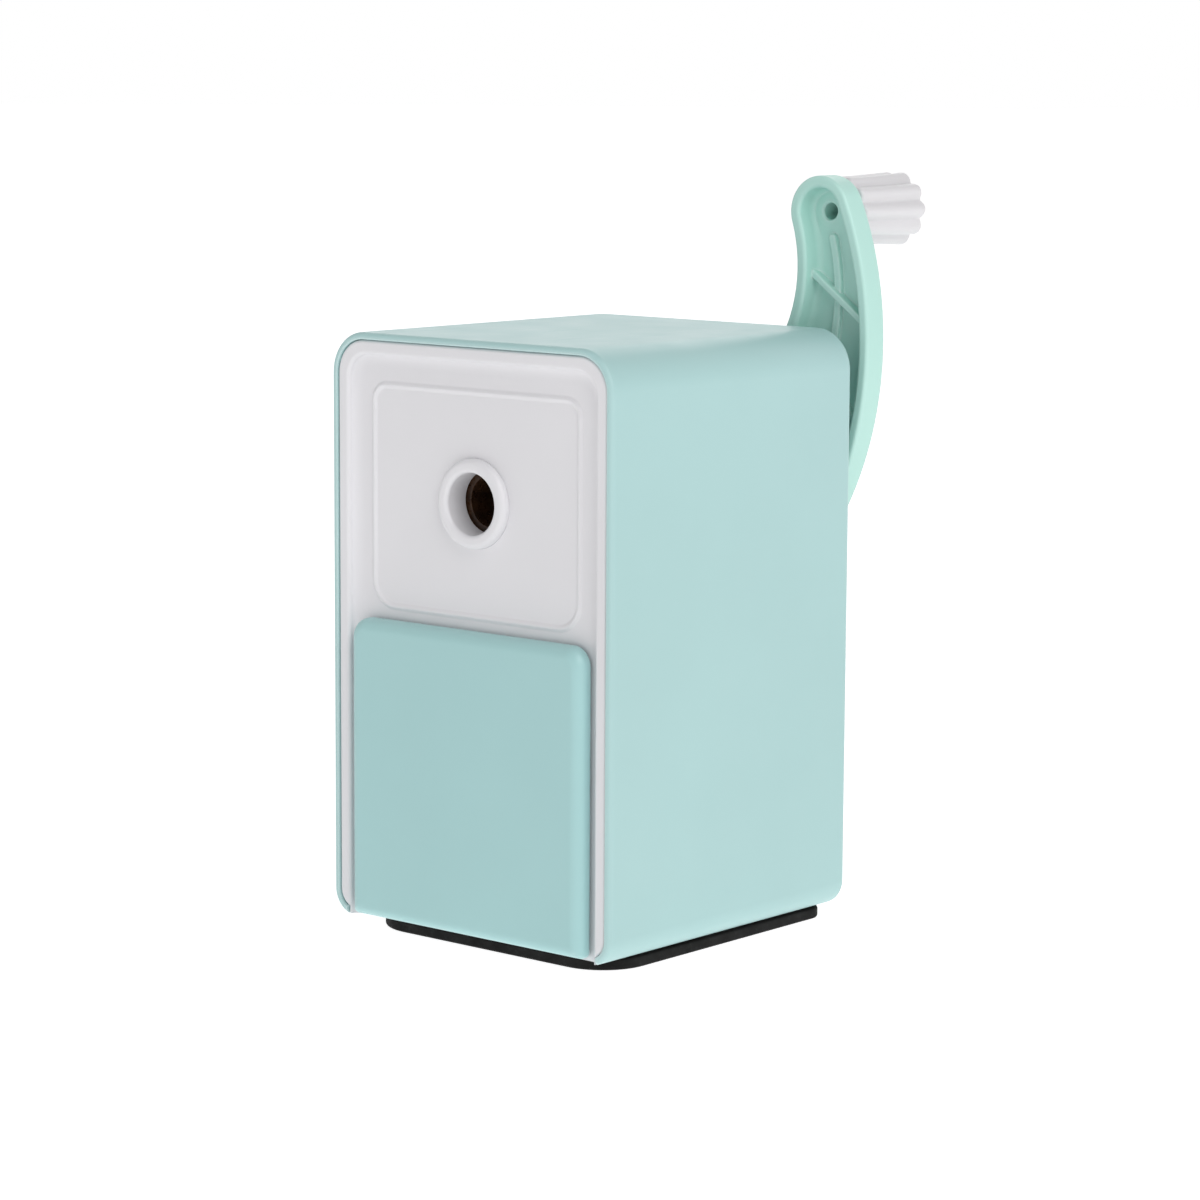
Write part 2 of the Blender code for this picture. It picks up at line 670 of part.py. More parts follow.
def make_knob():
    """A fluted grip that flares towards its free end."""
    outline = []
    for i in range(KNOB_LOBES * 6):
        angle = 2 * pi * i / (KNOB_LOBES * 6)
        radius = 5.5 + 0.5 * cos(KNOB_LOBES * angle)
        outline.append((KNOB_X + radius * cos(angle), KNOB_Z + radius * sin(angle)))
    start = ARM_BACK_Y + 0.4
    knob = plate("knob", outline, start, start + KNOB_L, (KNOB_X, 0, KNOB_Z), "knob_plastic")
    for vertex in knob.data.vertices:
        if vertex.co.y / MM > start + KNOB_L / 2:
            vertex.co.x *= 1.09
            vertex.co.z *= 1.09
    cut(knob, rod("cut_knob_bore", SPIGOT_R + GAP, start - 2, start + 13.8, ARM_BOSS, 20))
    snap = ARM_BACK_Y + SPIGOT_L
    cut(knob, rod("cut_snap_groove", 3.2, snap - 2.4, snap + GAP, ARM_BOSS, 20))
    return knob


# Drawer


def make_drawer():
    front = plate(
        "drawer_front",
        rounded_rect(DRAWER_W / 2, FLOOR_Z + 0.8, DRAWER_TOP, 0.6, 3.4, 6),
        FIELD_Y - GAP - DRAWER_T,
        FIELD_Y - GAP,
        (0, FIELD_Y, 0),
        "mint_plastic",
    )
    soften(front, FIELD_Y - GAP - DRAWER_T, 1.8, 3)
    soften(front, FIELD_Y - GAP, 0.6, 2)
    half = BIN_W / 2
    tray = box("drawer_bin", -half, half, FIELD_Y, BIN_REAR, 6.7, BIN_TOP, "white_plastic")
    edge = tray.modifiers.new("Edges", "BEVEL")
    edge.width = 1.0 * MM
    edge.segments = 2
    inside = half - BIN_WALL
    hollow = box(
        "cut_bin", -inside, inside, FIELD_Y + BIN_WALL, BIN_REAR - BIN_WALL, 6.7 + BIN_WALL, 60
    )
    cut(tray, hollow)
    for i, (x, z) in enumerate(at_each((-18, 18), (15, 42))):
        join(front, rod(f"add_peg_{i}", 1.5, FIELD_Y - 1, FIELD_Y + 2.4, (x, z), 16))
        cut(tray, rod(f"cut_peg_{i}", 1.8, FIELD_Y - 2, FIELD_Y + 3, (x, z), 16))
    return front, tray


# Screws


def cross_slot(name, at, y0, y1):
    """Two crossing cutters for a screw's driver recess."""
    x, z = at
    return [
        box(f"cut_{name}_slot_a", x - 1.7, x + 1.7, y0, y1, z - 0.35, z + 0.35),
        box(f"cut_{name}_slot_b", x - 0.35, x + 0.35, y0, y1, z - 1.7, z + 1.7),
    ]


def make_screws():
    screws = []
    for i, (x, z) in enumerate(at_each((-POST_X, POST_X), POST_Z)):
        y = REAR - 2.2 + GAP
        profile = [(0, y + 1.5), (2.2, y + 1.3), (2.8, y), (1.3, y), (1.3, 18), (0, 17)]
        made = turned(f"case_screw_{i + 1}", profile, (x, z), 16, "steel")
        cut(made, *cross_slot(f"case_{i}", (x, z), y + 0.7, y + 4))
        screws.append(made)
    for i, (x, z) in enumerate(flange_corners()):
        y = -23.5 + GAP
        profile = [(0, y + 1.5), (1.9, y + 1.3), (2.5, y), (1.2, y), (1.2, -27.4), (0, -28.2)]
        made = turned(f"housing_screw_{i + 1}", profile, (x, z), 12, "steel")
        cut(made, *cross_slot(f"housing_{i}", (x, z), y + 0.7, y + 4))
        screws.append(made)
    for i, side in enumerate((-1, 1)):
        shank = upright(f"base_screw_{i + 1}", 1.2, 2.6, 11, side * 22, 25, "steel", 16)
        join(shank, upright(f"add_base_head_{i}", 2.4, 2.4, 2.9, side * 22, 25))
        screws.append(shank)
    return screws


# Assembly


def axis_empty(name, place, tilt=0.0):
    made = bpy.data.objects.new(name, None)
    made.location = Vector(place) * MM
    made.rotation_euler = (tilt, 0, 0)
    made.empty_display_size = 0.01
    parts.objects.link(made)
    bpy.context.view_layer.update()
    return made


def carry(empty, pieces):
    """Parent the pieces to the joint's empty without moving them."""
    for piece in pieces:
        piece.parent = empty
        piece.matrix_parent_inverse = empty.matrix_world.inverted()


make_shell()
make_base()
make_panel()
make_nozzle()
make_housing()
make_ring_gear()
pinion = make_pinion()
cutter = make_cutter()
carrier = make_carrier()
axle = slanted(rod("cutter_axle", 1.5, -4.3, 26.6, (0, 0), 20, colour="steel"))
drive_shaft, shaft_pin, shaft_clip, shaft_bush = make_shaft()
arm = make_arm()
crank_washer, crank_screw = make_crank_fixings()
knob = make_knob()
drawer_front, drawer_bin = make_drawer()
make_screws()

crank_axis = axis_empty("crank_axis", (0, 0, AXIS_Z))
carry(crank_axis, [carrier, axle, drive_shaft, shaft_pin, shaft_clip])
carry(crank_axis, [arm, crank_washer, crank_screw])
cutter_axis = axis_empty("cutter_axis", (0, HEAD_Y, AXIS_Z - CUTTER_OFFSET), TILT)
carry(cutter_axis, [cutter, pinion])
knob_axis = axis_empty("knob_axis", (KNOB_X, 0, KNOB_Z))
carry(knob_axis, [knob])
drawer_slide = axis_empty("drawer_slide", (0, FIELD_Y, 28))
carry(drawer_slide, [drawer_front, drawer_bin])
bpy.context.view_layer.update()
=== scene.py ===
# %% [markdown]
# # A hand-cranked pencil sharpener
# This lesson dresses a finished CAD model of a desktop pencil sharpener: a mint box with a white
# face, a drawer for the shavings, a cutter head inside and a crank behind.
# The CAD model fixes every size, and the script builds finer skins over it piece by piece.
# Everything is in metres in the CAD's own frame: the pencil goes in along +Y, +X is the right-hand
# side, +Z is up, and the origin lies under the middle of the rubber pad.

import json
from math import atan2, cos, hypot, pi, radians, sin, sqrt, tan

import bmesh
import bpy
from mathutils import Matrix, Vector

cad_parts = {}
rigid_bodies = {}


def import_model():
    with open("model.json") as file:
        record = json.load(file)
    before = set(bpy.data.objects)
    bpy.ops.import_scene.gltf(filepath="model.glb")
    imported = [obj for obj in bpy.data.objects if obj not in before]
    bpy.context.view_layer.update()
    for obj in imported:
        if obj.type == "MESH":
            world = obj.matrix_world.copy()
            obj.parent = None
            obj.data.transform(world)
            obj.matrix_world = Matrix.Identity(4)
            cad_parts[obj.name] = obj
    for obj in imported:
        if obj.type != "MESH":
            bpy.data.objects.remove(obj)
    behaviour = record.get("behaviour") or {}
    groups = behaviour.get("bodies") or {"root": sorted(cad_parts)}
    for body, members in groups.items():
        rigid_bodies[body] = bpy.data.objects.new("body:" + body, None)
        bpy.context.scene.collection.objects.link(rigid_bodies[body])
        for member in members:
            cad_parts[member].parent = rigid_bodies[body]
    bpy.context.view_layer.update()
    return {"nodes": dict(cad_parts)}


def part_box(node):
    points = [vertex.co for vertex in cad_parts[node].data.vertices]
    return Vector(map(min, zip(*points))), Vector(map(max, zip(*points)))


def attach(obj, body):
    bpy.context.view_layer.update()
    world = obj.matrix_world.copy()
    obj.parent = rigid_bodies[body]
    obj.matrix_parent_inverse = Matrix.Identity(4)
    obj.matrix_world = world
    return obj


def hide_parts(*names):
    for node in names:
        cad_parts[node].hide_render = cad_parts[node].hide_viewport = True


for leftover in list(bpy.data.objects):
    bpy.data.objects.remove(leftover, do_unlink=True)
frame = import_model()

# %% [markdown]
# ## Where the eye stands
# The sharpener is seen from its front right corner, a little above its middle, through a long
# lens, which keeps the upright edges nearly parallel.
# A camera can be aimed with a constraint, but three turns written out are exact and easy to read:
# a turn about the upright, a tip down, and a hair of roll.

# %% Camera
eye = bpy.data.objects.new("camera", bpy.data.cameras.new("camera"))
eye.data.sensor_width = 36
eye.data.lens = 113.27
eye.data.clip_start, eye.data.clip_end = 0.01, 50
eye_place = Vector((0.41546, -0.48366, 0.14957))
yaw, tip, roll = radians(40.545), radians(8.335), radians(0.302)
eye.matrix_world = (
    Matrix.Translation(eye_place)
    @ Matrix.Rotation(yaw, 4, "Z")
    @ Matrix.Rotation(pi / 2 - tip, 4, "X")
    @ Matrix.Rotation(roll, 4, "Z")
)
bpy.context.scene.collection.objects.link(eye)
bpy.context.scene.camera = eye
print("camera", round(eye_place.length, 3), "m from the pad")

# %% [markdown]
# ## A plain white studio
# Small goods are shown in a white tent: the light comes from everywhere, with one large soft
# source on the right that makes the side a step brighter than the face.
# A pale floor, a white world and three big area lights do that. Large lights far away keep the
# shading on the flat plastic even, and give the rounded edges their long soft highlights.
# The world is seen and mirrored at full white but lights the piece with less, so that the key
# light can model it, and the floor glows faintly, as a sweep that is lit from below does.

# %% Floor, world and lights
scene = bpy.context.scene
scene.view_settings.view_transform = "Standard"
world = bpy.data.worlds.new("white_tent")
world.use_nodes = True
white, seen = world.node_tree.nodes["Background"], world.node_tree.nodes.new("ShaderNodeLightPath")
level = world.node_tree.nodes.new("ShaderNodeMapRange")
level.inputs["To Min"].default_value, level.inputs["To Max"].default_value = 0.30, 1.0
either = world.node_tree.nodes.new("ShaderNodeMath")
either.operation = "MAXIMUM"
world.node_tree.links.new(seen.outputs["Is Camera Ray"], either.inputs[0])
world.node_tree.links.new(seen.outputs["Is Glossy Ray"], either.inputs[1])
world.node_tree.links.new(either.outputs[0], level.inputs["Value"])
world.node_tree.links.new(level.outputs[0], white.inputs["Strength"])
white.inputs["Color"].default_value = (1, 1, 1, 1)
scene.world = world

floor_mesh = bpy.data.meshes.new("floor")
sheet = bmesh.new()
bmesh.ops.create_circle(sheet, cap_ends=True, segments=96, radius=9.0)
sheet.to_mesh(floor_mesh)
sheet.free()
floor_mesh.transform(Matrix.Translation((0, 0, -0.00005)))
floor = bpy.data.objects.new("floor", floor_mesh)
scene.collection.objects.link(floor)


def soft_light(name, place, aim, size, power):
    """A square area light that looks from its place to its aim and stays out of sight."""
    lamp = bpy.data.objects.new(name, bpy.data.lights.new(name, "AREA"))
    lamp.data.size = size
    lamp.data.energy = power
    lamp.location = place
    lamp.rotation_mode = "QUATERNION"
    lamp.rotation_quaternion = (Vector(aim) - Vector(place)).to_track_quat("-Z", "Y")
    lamp.visible_camera = False
    scene.collection.objects.link(lamp)
    return lamp


middle = (0, 0, 0.06)
soft_light("key_right", (1.3, -0.5, 1.25), middle, 1.2, 15.0)
soft_light("fill_front", (-0.6, -1.5, 0.7), middle, 1.4, 1.0)
soft_light("back_left", (-0.9, 1.2, 1.1), middle, 1.2, 4.0)
print("studio: one floor, three soft lights")

# %% [markdown]
# ## Measuring in millimetres
# Moulded parts are drawn in millimetres, and the scene is in metres, so two small helpers go
# between them. The sizes below are read from the CAD nodes' boxes: what the script adds is only
# the roundings, which are its own.

# %% Sizes from the CAD
MM = 0.001
GAP = 0.3


def span(node):
    """The lowest and highest x, y and z of a CAD node, in millimetres."""
    low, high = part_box(node)
    return [(round(a / MM, 3), round(b / MM, 3)) for a, b in zip(low, high)]


(_, HALF_W), (FRONT, REAR), (FLOOR_Z, ROOF_Z) = span("outer_shell")
shaft_z = span("drive_shaft")[2]
AXIS_Z = round(sum(shaft_z) / 2, 3)
print("gap between parts", GAP, "mm")
print("shell", HALF_W * 2, "x", REAR - FRONT, "x", ROOF_Z - FLOOR_Z, "mm, crank axis at", AXIS_Z)

# %% [markdown]
# ## Outlines and paths
# A moulded box is an outline carried along a direction, with each edge rounded on the way.
# `rounded_rect` draws the outline, and `eased` rounds the corners of a short path of
# (inset, level) points: how far in from the outline the surface is, and how far along.
# Lofting one outline after another along that path gives even strips of faces, so that a soft
# edge shades as cleanly as a real fillet.


# %% Outline helpers
def arc(cx, cz, radius, start, end, steps):
    """Points on an arc from one angle to another, both ends included."""
    turns = [start + (end - start) * i / steps for i in range(steps + 1)]
    return [(cx + radius * cos(a), cz + radius * sin(a)) for a in turns]


def rounded_rect(half_w, low, high, foot_r, top_r, steps=14):
    """A rectangle about x = 0 with its own corner radius at the foot and the top."""
    foot_r, top_r, quarter = max(foot_r, 0.05), max(top_r, 0.05), pi / 2
    points = arc(half_w - foot_r, low + foot_r, foot_r, -quarter, 0, steps)
    points += arc(half_w - top_r, high - top_r, top_r, 0, quarter, steps)
    points += arc(top_r - half_w, high - top_r, top_r, quarter, pi, steps)
    points += arc(foot_r - half_w, low + foot_r, foot_r, pi, 3 * quarter, steps)
    return points


def inset_rect(half_w, low, high, foot_r, top_r):
    """A function that gives the same rounded rectangle, drawn in by any amount."""
    return lambda t: rounded_rect(half_w - t, low + t, high - t, foot_r - t, top_r - t)


def eased(corners, steps=7):
    """Round the corners of an open path of (a, b, radius)."""
    path = [corners[0][:2]]
    for (a0, b0, _), (a, b, radius), (a1, b1, _) in zip(corners, corners[1:], corners[2:]):
        here = Vector((a, b))
        back = (Vector((a0, b0)) - here).normalized()
        ahead = (Vector((a1, b1)) - here).normalized()
        if radius <= 0 or abs(back.dot(ahead)) > 0.9999:
            path.append((a, b))
            continue
        half = back.angle(ahead) / 2
        centre = here + (back + ahead).normalized() * (radius / sin(half))
        first = here + back * (radius / tan(half)) - centre
        last = here + ahead * (radius / tan(half)) - centre
        for i in range(steps + 1):
            turn = first.lerp(last, i / steps) if i in (0, steps) else first.slerp(last, i / steps)
            path.append(tuple(centre + turn.normalized() * radius))
    path.append(corners[-1][:2])
    return path


print("a 2 mm fillet has", len(eased([(0, 0, 0), (5, 0, 2), (5, 5, 0)])), "points")

# %% [markdown]
# ## Solids from outlines
# `loft` joins a row of outlines into a closed skin, and `turned` does the same for a round part,
# as a lathe would. Both recalculate their normals, so that every face looks outwards.
# Holes and bosses come by Boolean: a cutter is made like any other solid, used, and thrown away.
# `polish` then marks the real edges as sharp and lets the large faces rule the shading, which
# keeps flat plastic flat right up to its fillets.


# %% Solid helpers
def new_piece(name, shape):
    """An object at the origin from a finished bmesh in millimetres."""
    bmesh.ops.remove_doubles(shape, verts=shape.verts, dist=1e-4)
    bmesh.ops.recalc_face_normals(shape, faces=shape.faces)
    mesh = bpy.data.meshes.new(name)
    shape.to_mesh(mesh)
    shape.free()
    mesh.transform(Matrix.Scale(MM, 4))
    made = bpy.data.objects.new(name, mesh)
    scene.collection.objects.link(made)
    return made


def loft(name, rings, upright=False):
    """A closed skin through (outline, level) rings, along Y, or along Z if upright."""
    shape = bmesh.new()
    rows = []
    for outline, level in rings:
        places = [(u, v, level) if upright else (u, level, v) for u, v in outline]
        rows.append([shape.verts.new(p) for p in places])
    for row, after in zip(rows, rows[1:]):
        for i in range(len(row)):
            shape.faces.new((row[i - 1], row[i], after[i], after[i - 1]))
    shape.faces.new(rows[0])
    shape.faces.new(rows[-1])
    return new_piece(name, shape)


def turned(name, profile, at=(0, AXIS_Z), steps=96):
    """A (radius, y) profile turned about Y. It closes on the axis, or on itself round a bore."""
    shape = bmesh.new()
    rows = []
    for radius, y in profile:
        count = steps if radius > 1e-4 else 1
        ring = [2 * pi * i / steps for i in range(count)]
        row = [(at[0] + radius * cos(a), y, at[1] + radius * sin(a)) for a in ring]
        rows.append([shape.verts.new(p) for p in row])
    if len(rows[0]) > 1 and len(rows[-1]) > 1:
        rows.append(rows[0])
    for row, after in zip(rows, rows[1:]):
        for i in range(steps):
            around = [r[k % len(r)] for r, k in ((row, i - 1), (row, i), (after, i), (after, i - 1))]
            corners = list(dict.fromkeys(around))
            if len(corners) > 2:
                shape.faces.new(corners)
    return new_piece(name, shape)


def rod(radius, y0, y1, at=(0, AXIS_Z), steps=64):
    return turned("rod", [(0, y0), (radius, y0), (radius, y1), (0, y1)], at, steps)


def block(x, y, z, radius=0.0):
    """A box from three (low, high) pairs, its upright edges rounded."""
    half = (x[1] - x[0]) / 2
    outline = rounded_rect(half, y[0], y[1], radius, radius, 5)
    rings = [([(u + x[0] + half, v) for u, v in outline], level) for level in z]
    return loft("block", rings, upright=True)


def settle(piece):
    """Turn the piece and its modifiers into one plain mesh."""
    bpy.context.view_layer.update()
    ready = piece.evaluated_get(bpy.context.evaluated_depsgraph_get())
    mesh = bpy.data.meshes.new_from_object(ready)
    piece.modifiers.clear()
    piece.data = mesh
    return piece


def work(piece, operation, tools):
    for tool in tools:
        step = piece.modifiers.new(tool.name, "BOOLEAN")
        step.operation, step.solver, step.object = operation, "EXACT", tool
    settle(piece)
    for tool in tools:
        bpy.data.objects.remove(tool, do_unlink=True)
    return piece


def cut(piece, *tools):
    return work(piece, "DIFFERENCE", tools)


def join(piece, *tools):
    return work(piece, "UNION", tools)


def polish(piece, angle=32):
    """Shade smooth, keep real edges sharp, and let large faces set the normals."""
    piece.data.shade_smooth()
    piece.data.set_sharp_from_angle(angle=radians(angle))
    step = piece.modifiers.new("even_shading", "WEIGHTED_NORMAL")
    step.keep_sharp, step.weight = True, 100
    return settle(piece)


def hand_over(piece, finish, body, slot, *nodes):
    """Give a piece its finish, tie it to the CAD body, and hide the CAD nodes that it stands for."""
    piece.data.materials.clear()
    piece.data.materials.append(finish)
    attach(piece, body)
    if nodes:
        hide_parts(*nodes)
    piece.data.calc_loop_triangles()
    print(piece.name, len(piece.data.loop_triangles), "triangles on", body)
    return piece


# %% [markdown]
# ## How a finish is put together
# A moulded surface is never one flat colour. It has a faint cloudiness from the melt, a fine
# spark-eroded grain from the mould, patches that handling has polished, hairline scuffs, and
# glossier edges, which are also painted paler as a painted highlight.
# Painted maps would need image files, so every finish here is woven from noise on Object
# coordinates, in metres. The helpers keep a node tree to a few readable lines.


# %% Shader helpers
def new_finish(name):
    """An empty material, its tree and its shader."""
    made = bpy.data.materials.new(name)
    made.use_nodes = True
    return made, made.node_tree, made.node_tree.nodes["Principled BSDF"]


def add(tree, kind, values=None, **settings):
    """A node with its settings made and its inputs set or linked."""
    made = tree.nodes.new(kind)
    for key, value in settings.items():
        setattr(made, key, value)
    for key, value in (values or {}).items():
        if isinstance(value, bpy.types.NodeSocket):
            tree.links.new(value, made.inputs[key])
        else:
            made.inputs[key].default_value = value
    return made


def noise(tree, size, detail=2.0, stretch=(1, 1, 1), offset=0.0):
    """Noise whose blotches are about this many millimetres across, stretched along an axis."""
    place = add(tree, "ShaderNodeTexCoord").outputs["Object"]
    shares = tuple(1 / s for s in stretch)
    mapping = {"Vector": place, "Scale": shares, "Location": (offset,) * 3}
    turned_place = add(tree, "ShaderNodeMapping", mapping)
    scale = 1 / (size * MM)
    values = {"Vector": turned_place.outputs[0], "Scale": scale, "Detail": detail}
    return add(tree, "ShaderNodeTexNoise", values).outputs["Fac"]


def levels(tree, value, low, high, start=0.3, end=0.7):
    """Spread a value from start..end to low..high."""
    values = {"Value": value, 1: start, 2: end, 3: low, 4: high}
    return add(tree, "ShaderNodeMapRange", values, clamp=True).outputs[0]


def combine(tree, operation, a, b):
    return add(tree, "ShaderNodeMath", {0: a, 1: b}, operation=operation).outputs[0]


def mixed(tree, share, first, second):
    """One colour into another by a share from 0 to 1."""
    return add(tree, "ShaderNodeMix", {0: share, 6: first, 7: second}, data_type="RGBA").outputs[2]


def edges(tree, width):
    """1 on edges and fillets narrower than this many millimetres, 0 on faces."""
    eased_normal = add(tree, "ShaderNodeBevel", {"Radius": width * MM}, samples=4).outputs[0]
    true_normal = add(tree, "ShaderNodeNewGeometry").outputs["Normal"]
    values = {0: eased_normal, 1: true_normal}
    same = add(tree, "ShaderNodeVectorMath", values, operation="DOT_PRODUCT").outputs["Value"]
    return levels(tree, same, 1.0, 0.0, 0.80, 0.995)


def bumped(tree, shader, height, depth, strength=1.0):
    """Stand the surface up by a height pattern, depth in millimetres."""
    values = {"Height": height, "Distance": depth * MM, "Strength": strength}
    tree.links.new(add(tree, "ShaderNodeBump", values).outputs[0], shader.inputs["Normal"])


def shade(colour, share):
    return (*[min(1.0, c * share) for c in colour], 1.0)


# %% [markdown]
# ## Satin ABS
# The shell, face, drawer, crank and knob are injection-moulded ABS. The mould is spark-eroded to
# a fine satin, about a quarter of a millimetre from peak to peak, so highlights are broad.
# One function makes all of them. What changes is the colour, how satin the mould was, and how
# much use the piece gets: a knob is handled every day, and a shell hardly ever.


# %% The plastic finish
def satin_plastic(name, colour, roughness, grain=0.26, depth=0.006, cloud=0.02, handled=0.05, rim=0.12):
    """A moulded plastic. Grain and depth are in millimetres, handled is the polish from use, and
    rim is the strength of the painted highlight that makes the edges paler."""
    made, tree, shader = new_finish(name)
    melt = levels(tree, noise(tree, 38, 3), 0, 1)
    body = mixed(tree, melt, shade(colour, 1 - cloud), shade(colour, 1 + cloud))
    # The edge mask drives a painted highlight in the colour and a real lower roughness on the edges.
    rims = edges(tree, 0.9)
    # Painted highlight: the edges are mixed towards near-white by the rim share.
    painted_edge_highlight = levels(tree, rims, 0, rim, 0, 1)
    coloured = mixed(tree, painted_edge_highlight, body, (0.93, 0.96, 0.96, 1))
    scuffs = levels(tree, noise(tree, 1.6, 1, (1, 14, 1), 3.1), 0, 1, 0.66, 0.76)
    cross = levels(tree, noise(tree, 1.4, 1, (1, 1, 16), 7.7), 0, 1, 0.68, 0.78)
    hairs = combine(tree, "MAXIMUM", scuffs, cross)
    patches = levels(tree, noise(tree, 9, 3, offset=1.3), -handled, handled)
    rough = combine(tree, "ADD", patches, roughness)
    rough = combine(tree, "SUBTRACT", rough, levels(tree, rims, 0, 0.08, 0, 1))
    rough = combine(tree, "ADD", rough, levels(tree, hairs, 0, 0.06, 0, 1))
    tree.links.new(coloured, shader.inputs["Base Color"])
    tree.links.new(rough, shader.inputs["Roughness"])
    fine = noise(tree, grain, 2, offset=5.0)
    coarse = noise(tree, grain * 9, 2, offset=2.0)
    height = combine(tree, "ADD", fine, levels(tree, coarse, 0, 0.6))
    height = combine(tree, "SUBTRACT", height, levels(tree, hairs, 0, 0.5, 0, 1))
    bumped(tree, shader, height, depth)
    return made


# The rim share paints a pale highlight on each plastic's edges, strongest on the mint parts.
mint_shell = satin_plastic("mint_shell", (0.412, 0.630, 0.625), 0.40, rim=0.50)
mint_drawer = satin_plastic("mint_drawer", (0.385, 0.630, 0.632), 0.36, handled=0.07, rim=0.40)
mint_arm = satin_plastic("mint_arm", (0.490, 0.775, 0.705), 0.37, handled=0.07, rim=0.50)
white_panel = satin_plastic("white_panel", (0.775, 0.766, 0.790), 0.42)
white_inner = satin_plastic("white_inner", (0.800, 0.800, 0.795), 0.45, cloud=0.03)
knob_white = satin_plastic("knob_white", (0.735, 0.722, 0.742), 0.36, handled=0.08)
print("six satin plastics")

# %% [markdown]
# ## Steel, brass, rubber and the dark rotor
# Turned steel shows rings left by the tool, ground steel shows fine lines, and both pick up dull
# patches where oil has sat. Brass goes brown in its tarnish. Rubber is nearly black, with a
# stippled skin that catches dust. The rotor is a dark brown phenolic, glossy where it was
# machined. Each reads the same noise at its own scale and stretch.


# %% Metal, rubber and rotor finishes
def machined_metal(name, bright, dull, roughness, lines=(1, 1, 1), line=0.12, depth=0.003):
    """A metal with tool lines that run along the stretched axis."""
    made, tree, shader = new_finish(name)
    shader.inputs["Metallic"].default_value = 1.0
    stain = levels(tree, noise(tree, 3.2, 4), 0, 1, 0.42, 0.68)
    rims = edges(tree, 0.25)
    body = mixed(tree, levels(tree, stain, 0, 0.7, 0, 1), (*bright, 1), (*dull, 1))
    body = mixed(tree, levels(tree, rims, 0, 0.5, 0, 1), body, shade(bright, 1.15))
    tree.links.new(body, shader.inputs["Base Color"])
    cuts = noise(tree, line, 3, lines, 4.0)
    rough = combine(tree, "ADD", levels(tree, cuts, -0.06, 0.06), roughness)
    rough = combine(tree, "ADD", rough, levels(tree, stain, 0, 0.14, 0, 1))
    tree.links.new(rough, shader.inputs["Roughness"])
    bumped(tree, shader, cuts, depth)
    return made


screw_steel = machined_metal("screw_steel", (0.66, 0.66, 0.67), (0.42, 0.41, 0.39), 0.27)
pin_steel = machined_metal("pin_steel", (0.60, 0.60, 0.61), (0.36, 0.35, 0.33), 0.30, (1, 0.2, 1))
gear_steel = machined_metal("gear_steel", (0.46, 0.46, 0.47), (0.24, 0.22, 0.20), 0.38, (1, 6, 1), 0.2)
cutter_steel = machined_metal("cutter_steel", (0.56, 0.57, 0.60), (0.30, 0.29, 0.28), 0.24, (1, 8, 1))
brass_bush = machined_metal("brass_bush", (0.72, 0.50, 0.20), (0.38, 0.22, 0.08), 0.32, (1, 0.2, 1))

black_pad, tree, shader = new_finish("black_pad")
dust = levels(tree, noise(tree, 0.8, 5), 0, 1, 0.58, 0.80)
rubber, grey = (0.0045, 0.0045, 0.0042, 1), (0.020, 0.020, 0.019, 1)
tree.links.new(mixed(tree, dust, rubber, grey), shader.inputs["Base Color"])
tree.links.new(levels(tree, noise(tree, 4, 3), 0.68, 0.88), shader.inputs["Roughness"])
shader.inputs["Specular IOR Level"].default_value = 0.25
bumped(tree, shader, noise(tree, 0.35, 3), 0.03)

dark_carrier, tree, shader = new_finish("dark_carrier")
swirl = levels(tree, noise(tree, 2.6, 4, (1, 3, 1)), 0, 1)
brown = mixed(tree, swirl, (0.022, 0.011, 0.006, 1), (0.075, 0.034, 0.014, 1))
brown = mixed(tree, levels(tree, edges(tree, 0.4), 0, 0.35, 0, 1), brown, (0.16, 0.085, 0.045, 1))
tree.links.new(brown, shader.inputs["Base Color"])
tree.links.new(levels(tree, noise(tree, 1.1, 3), 0.22, 0.42), shader.inputs["Roughness"])
bumped(tree, shader, noise(tree, 0.2, 2, (1, 0.3, 1)), 0.006)

floor_white, tree, shader = new_finish("floor_white")
paper = mixed(tree, noise(tree, 60, 2), (0.50, 0.50, 0.50, 1), (0.53, 0.53, 0.53, 1))
tree.links.new(paper, shader.inputs["Base Color"])
shader.inputs["Roughness"].default_value = 0.9
shader.inputs["Specular IOR Level"].default_value = 0.1
shader.inputs["Emission Color"].default_value = (1, 1, 1, 1)
shader.inputs["Emission Strength"].default_value = 0.87
floor.data.materials.append(floor_white)
print("five metals, rubber, rotor and floor")

# %% [markdown]
# ## The shell
# The shell is a five-sided box, 1.8 mm thick, open at the front, with big rounded corners along
# its length and small soft edges round its two ends. One closed path goes over the outside,
# round the front edge and back along the inside, and the outline shrinks along it, which makes
# the wall in one go, with the thinner mouth that takes the face. The foot opening, the four
# screw cups and the seat of the shaft's bush are cut afterwards.

# %% Outer shell
WALL, REAR_WALL, TOP_R, FOOT_R = 1.8, 2.0, 7.0, 4.5
MOUTH, MOUTH_DEEP, FOOT_HALF = 1.2, 2.0, 28
POSTS = [(x, z) for x in (-24.8, 24.8) for z in (60.0, 92.0)]
wall_path = [(4, REAR, 0), (0, REAR, 1.0), (0, FRONT, 0.8), (MOUTH, FRONT, 0.2)]
wall_path += [(MOUTH, FRONT + MOUTH_DEEP, 0.1), (WALL, FRONT + MOUTH_DEEP, 0.1)]
wall_path += [(WALL, REAR - REAR_WALL, 0.8), (4, REAR - REAR_WALL, 0)]
shell_outline = inset_rect(HALF_W, FLOOR_Z, ROOF_Z, FOOT_R, TOP_R)
shell = loft("shell", [(shell_outline(t), y) for t, y in eased(wall_path)])
join(shell, *[rod(4.6, REAR - 4.2, REAR - 1, at) for at in POSTS])
cut(shell, block((-FOOT_HALF, FOOT_HALF), (FRONT - 8, REAR - 3), (0, 6), 1.2))
for side in (-1, 1):
    x0, x1 = sorted((side * 18.5, side * 25.5))
    join(shell, block((x0, x1), (21.9, REAR - 1), (4.4, 14), 0.6))
    cut(shell, block((x0 + 2, x1 - 2), (23.5, 26.5), (4, 12), 0.5))
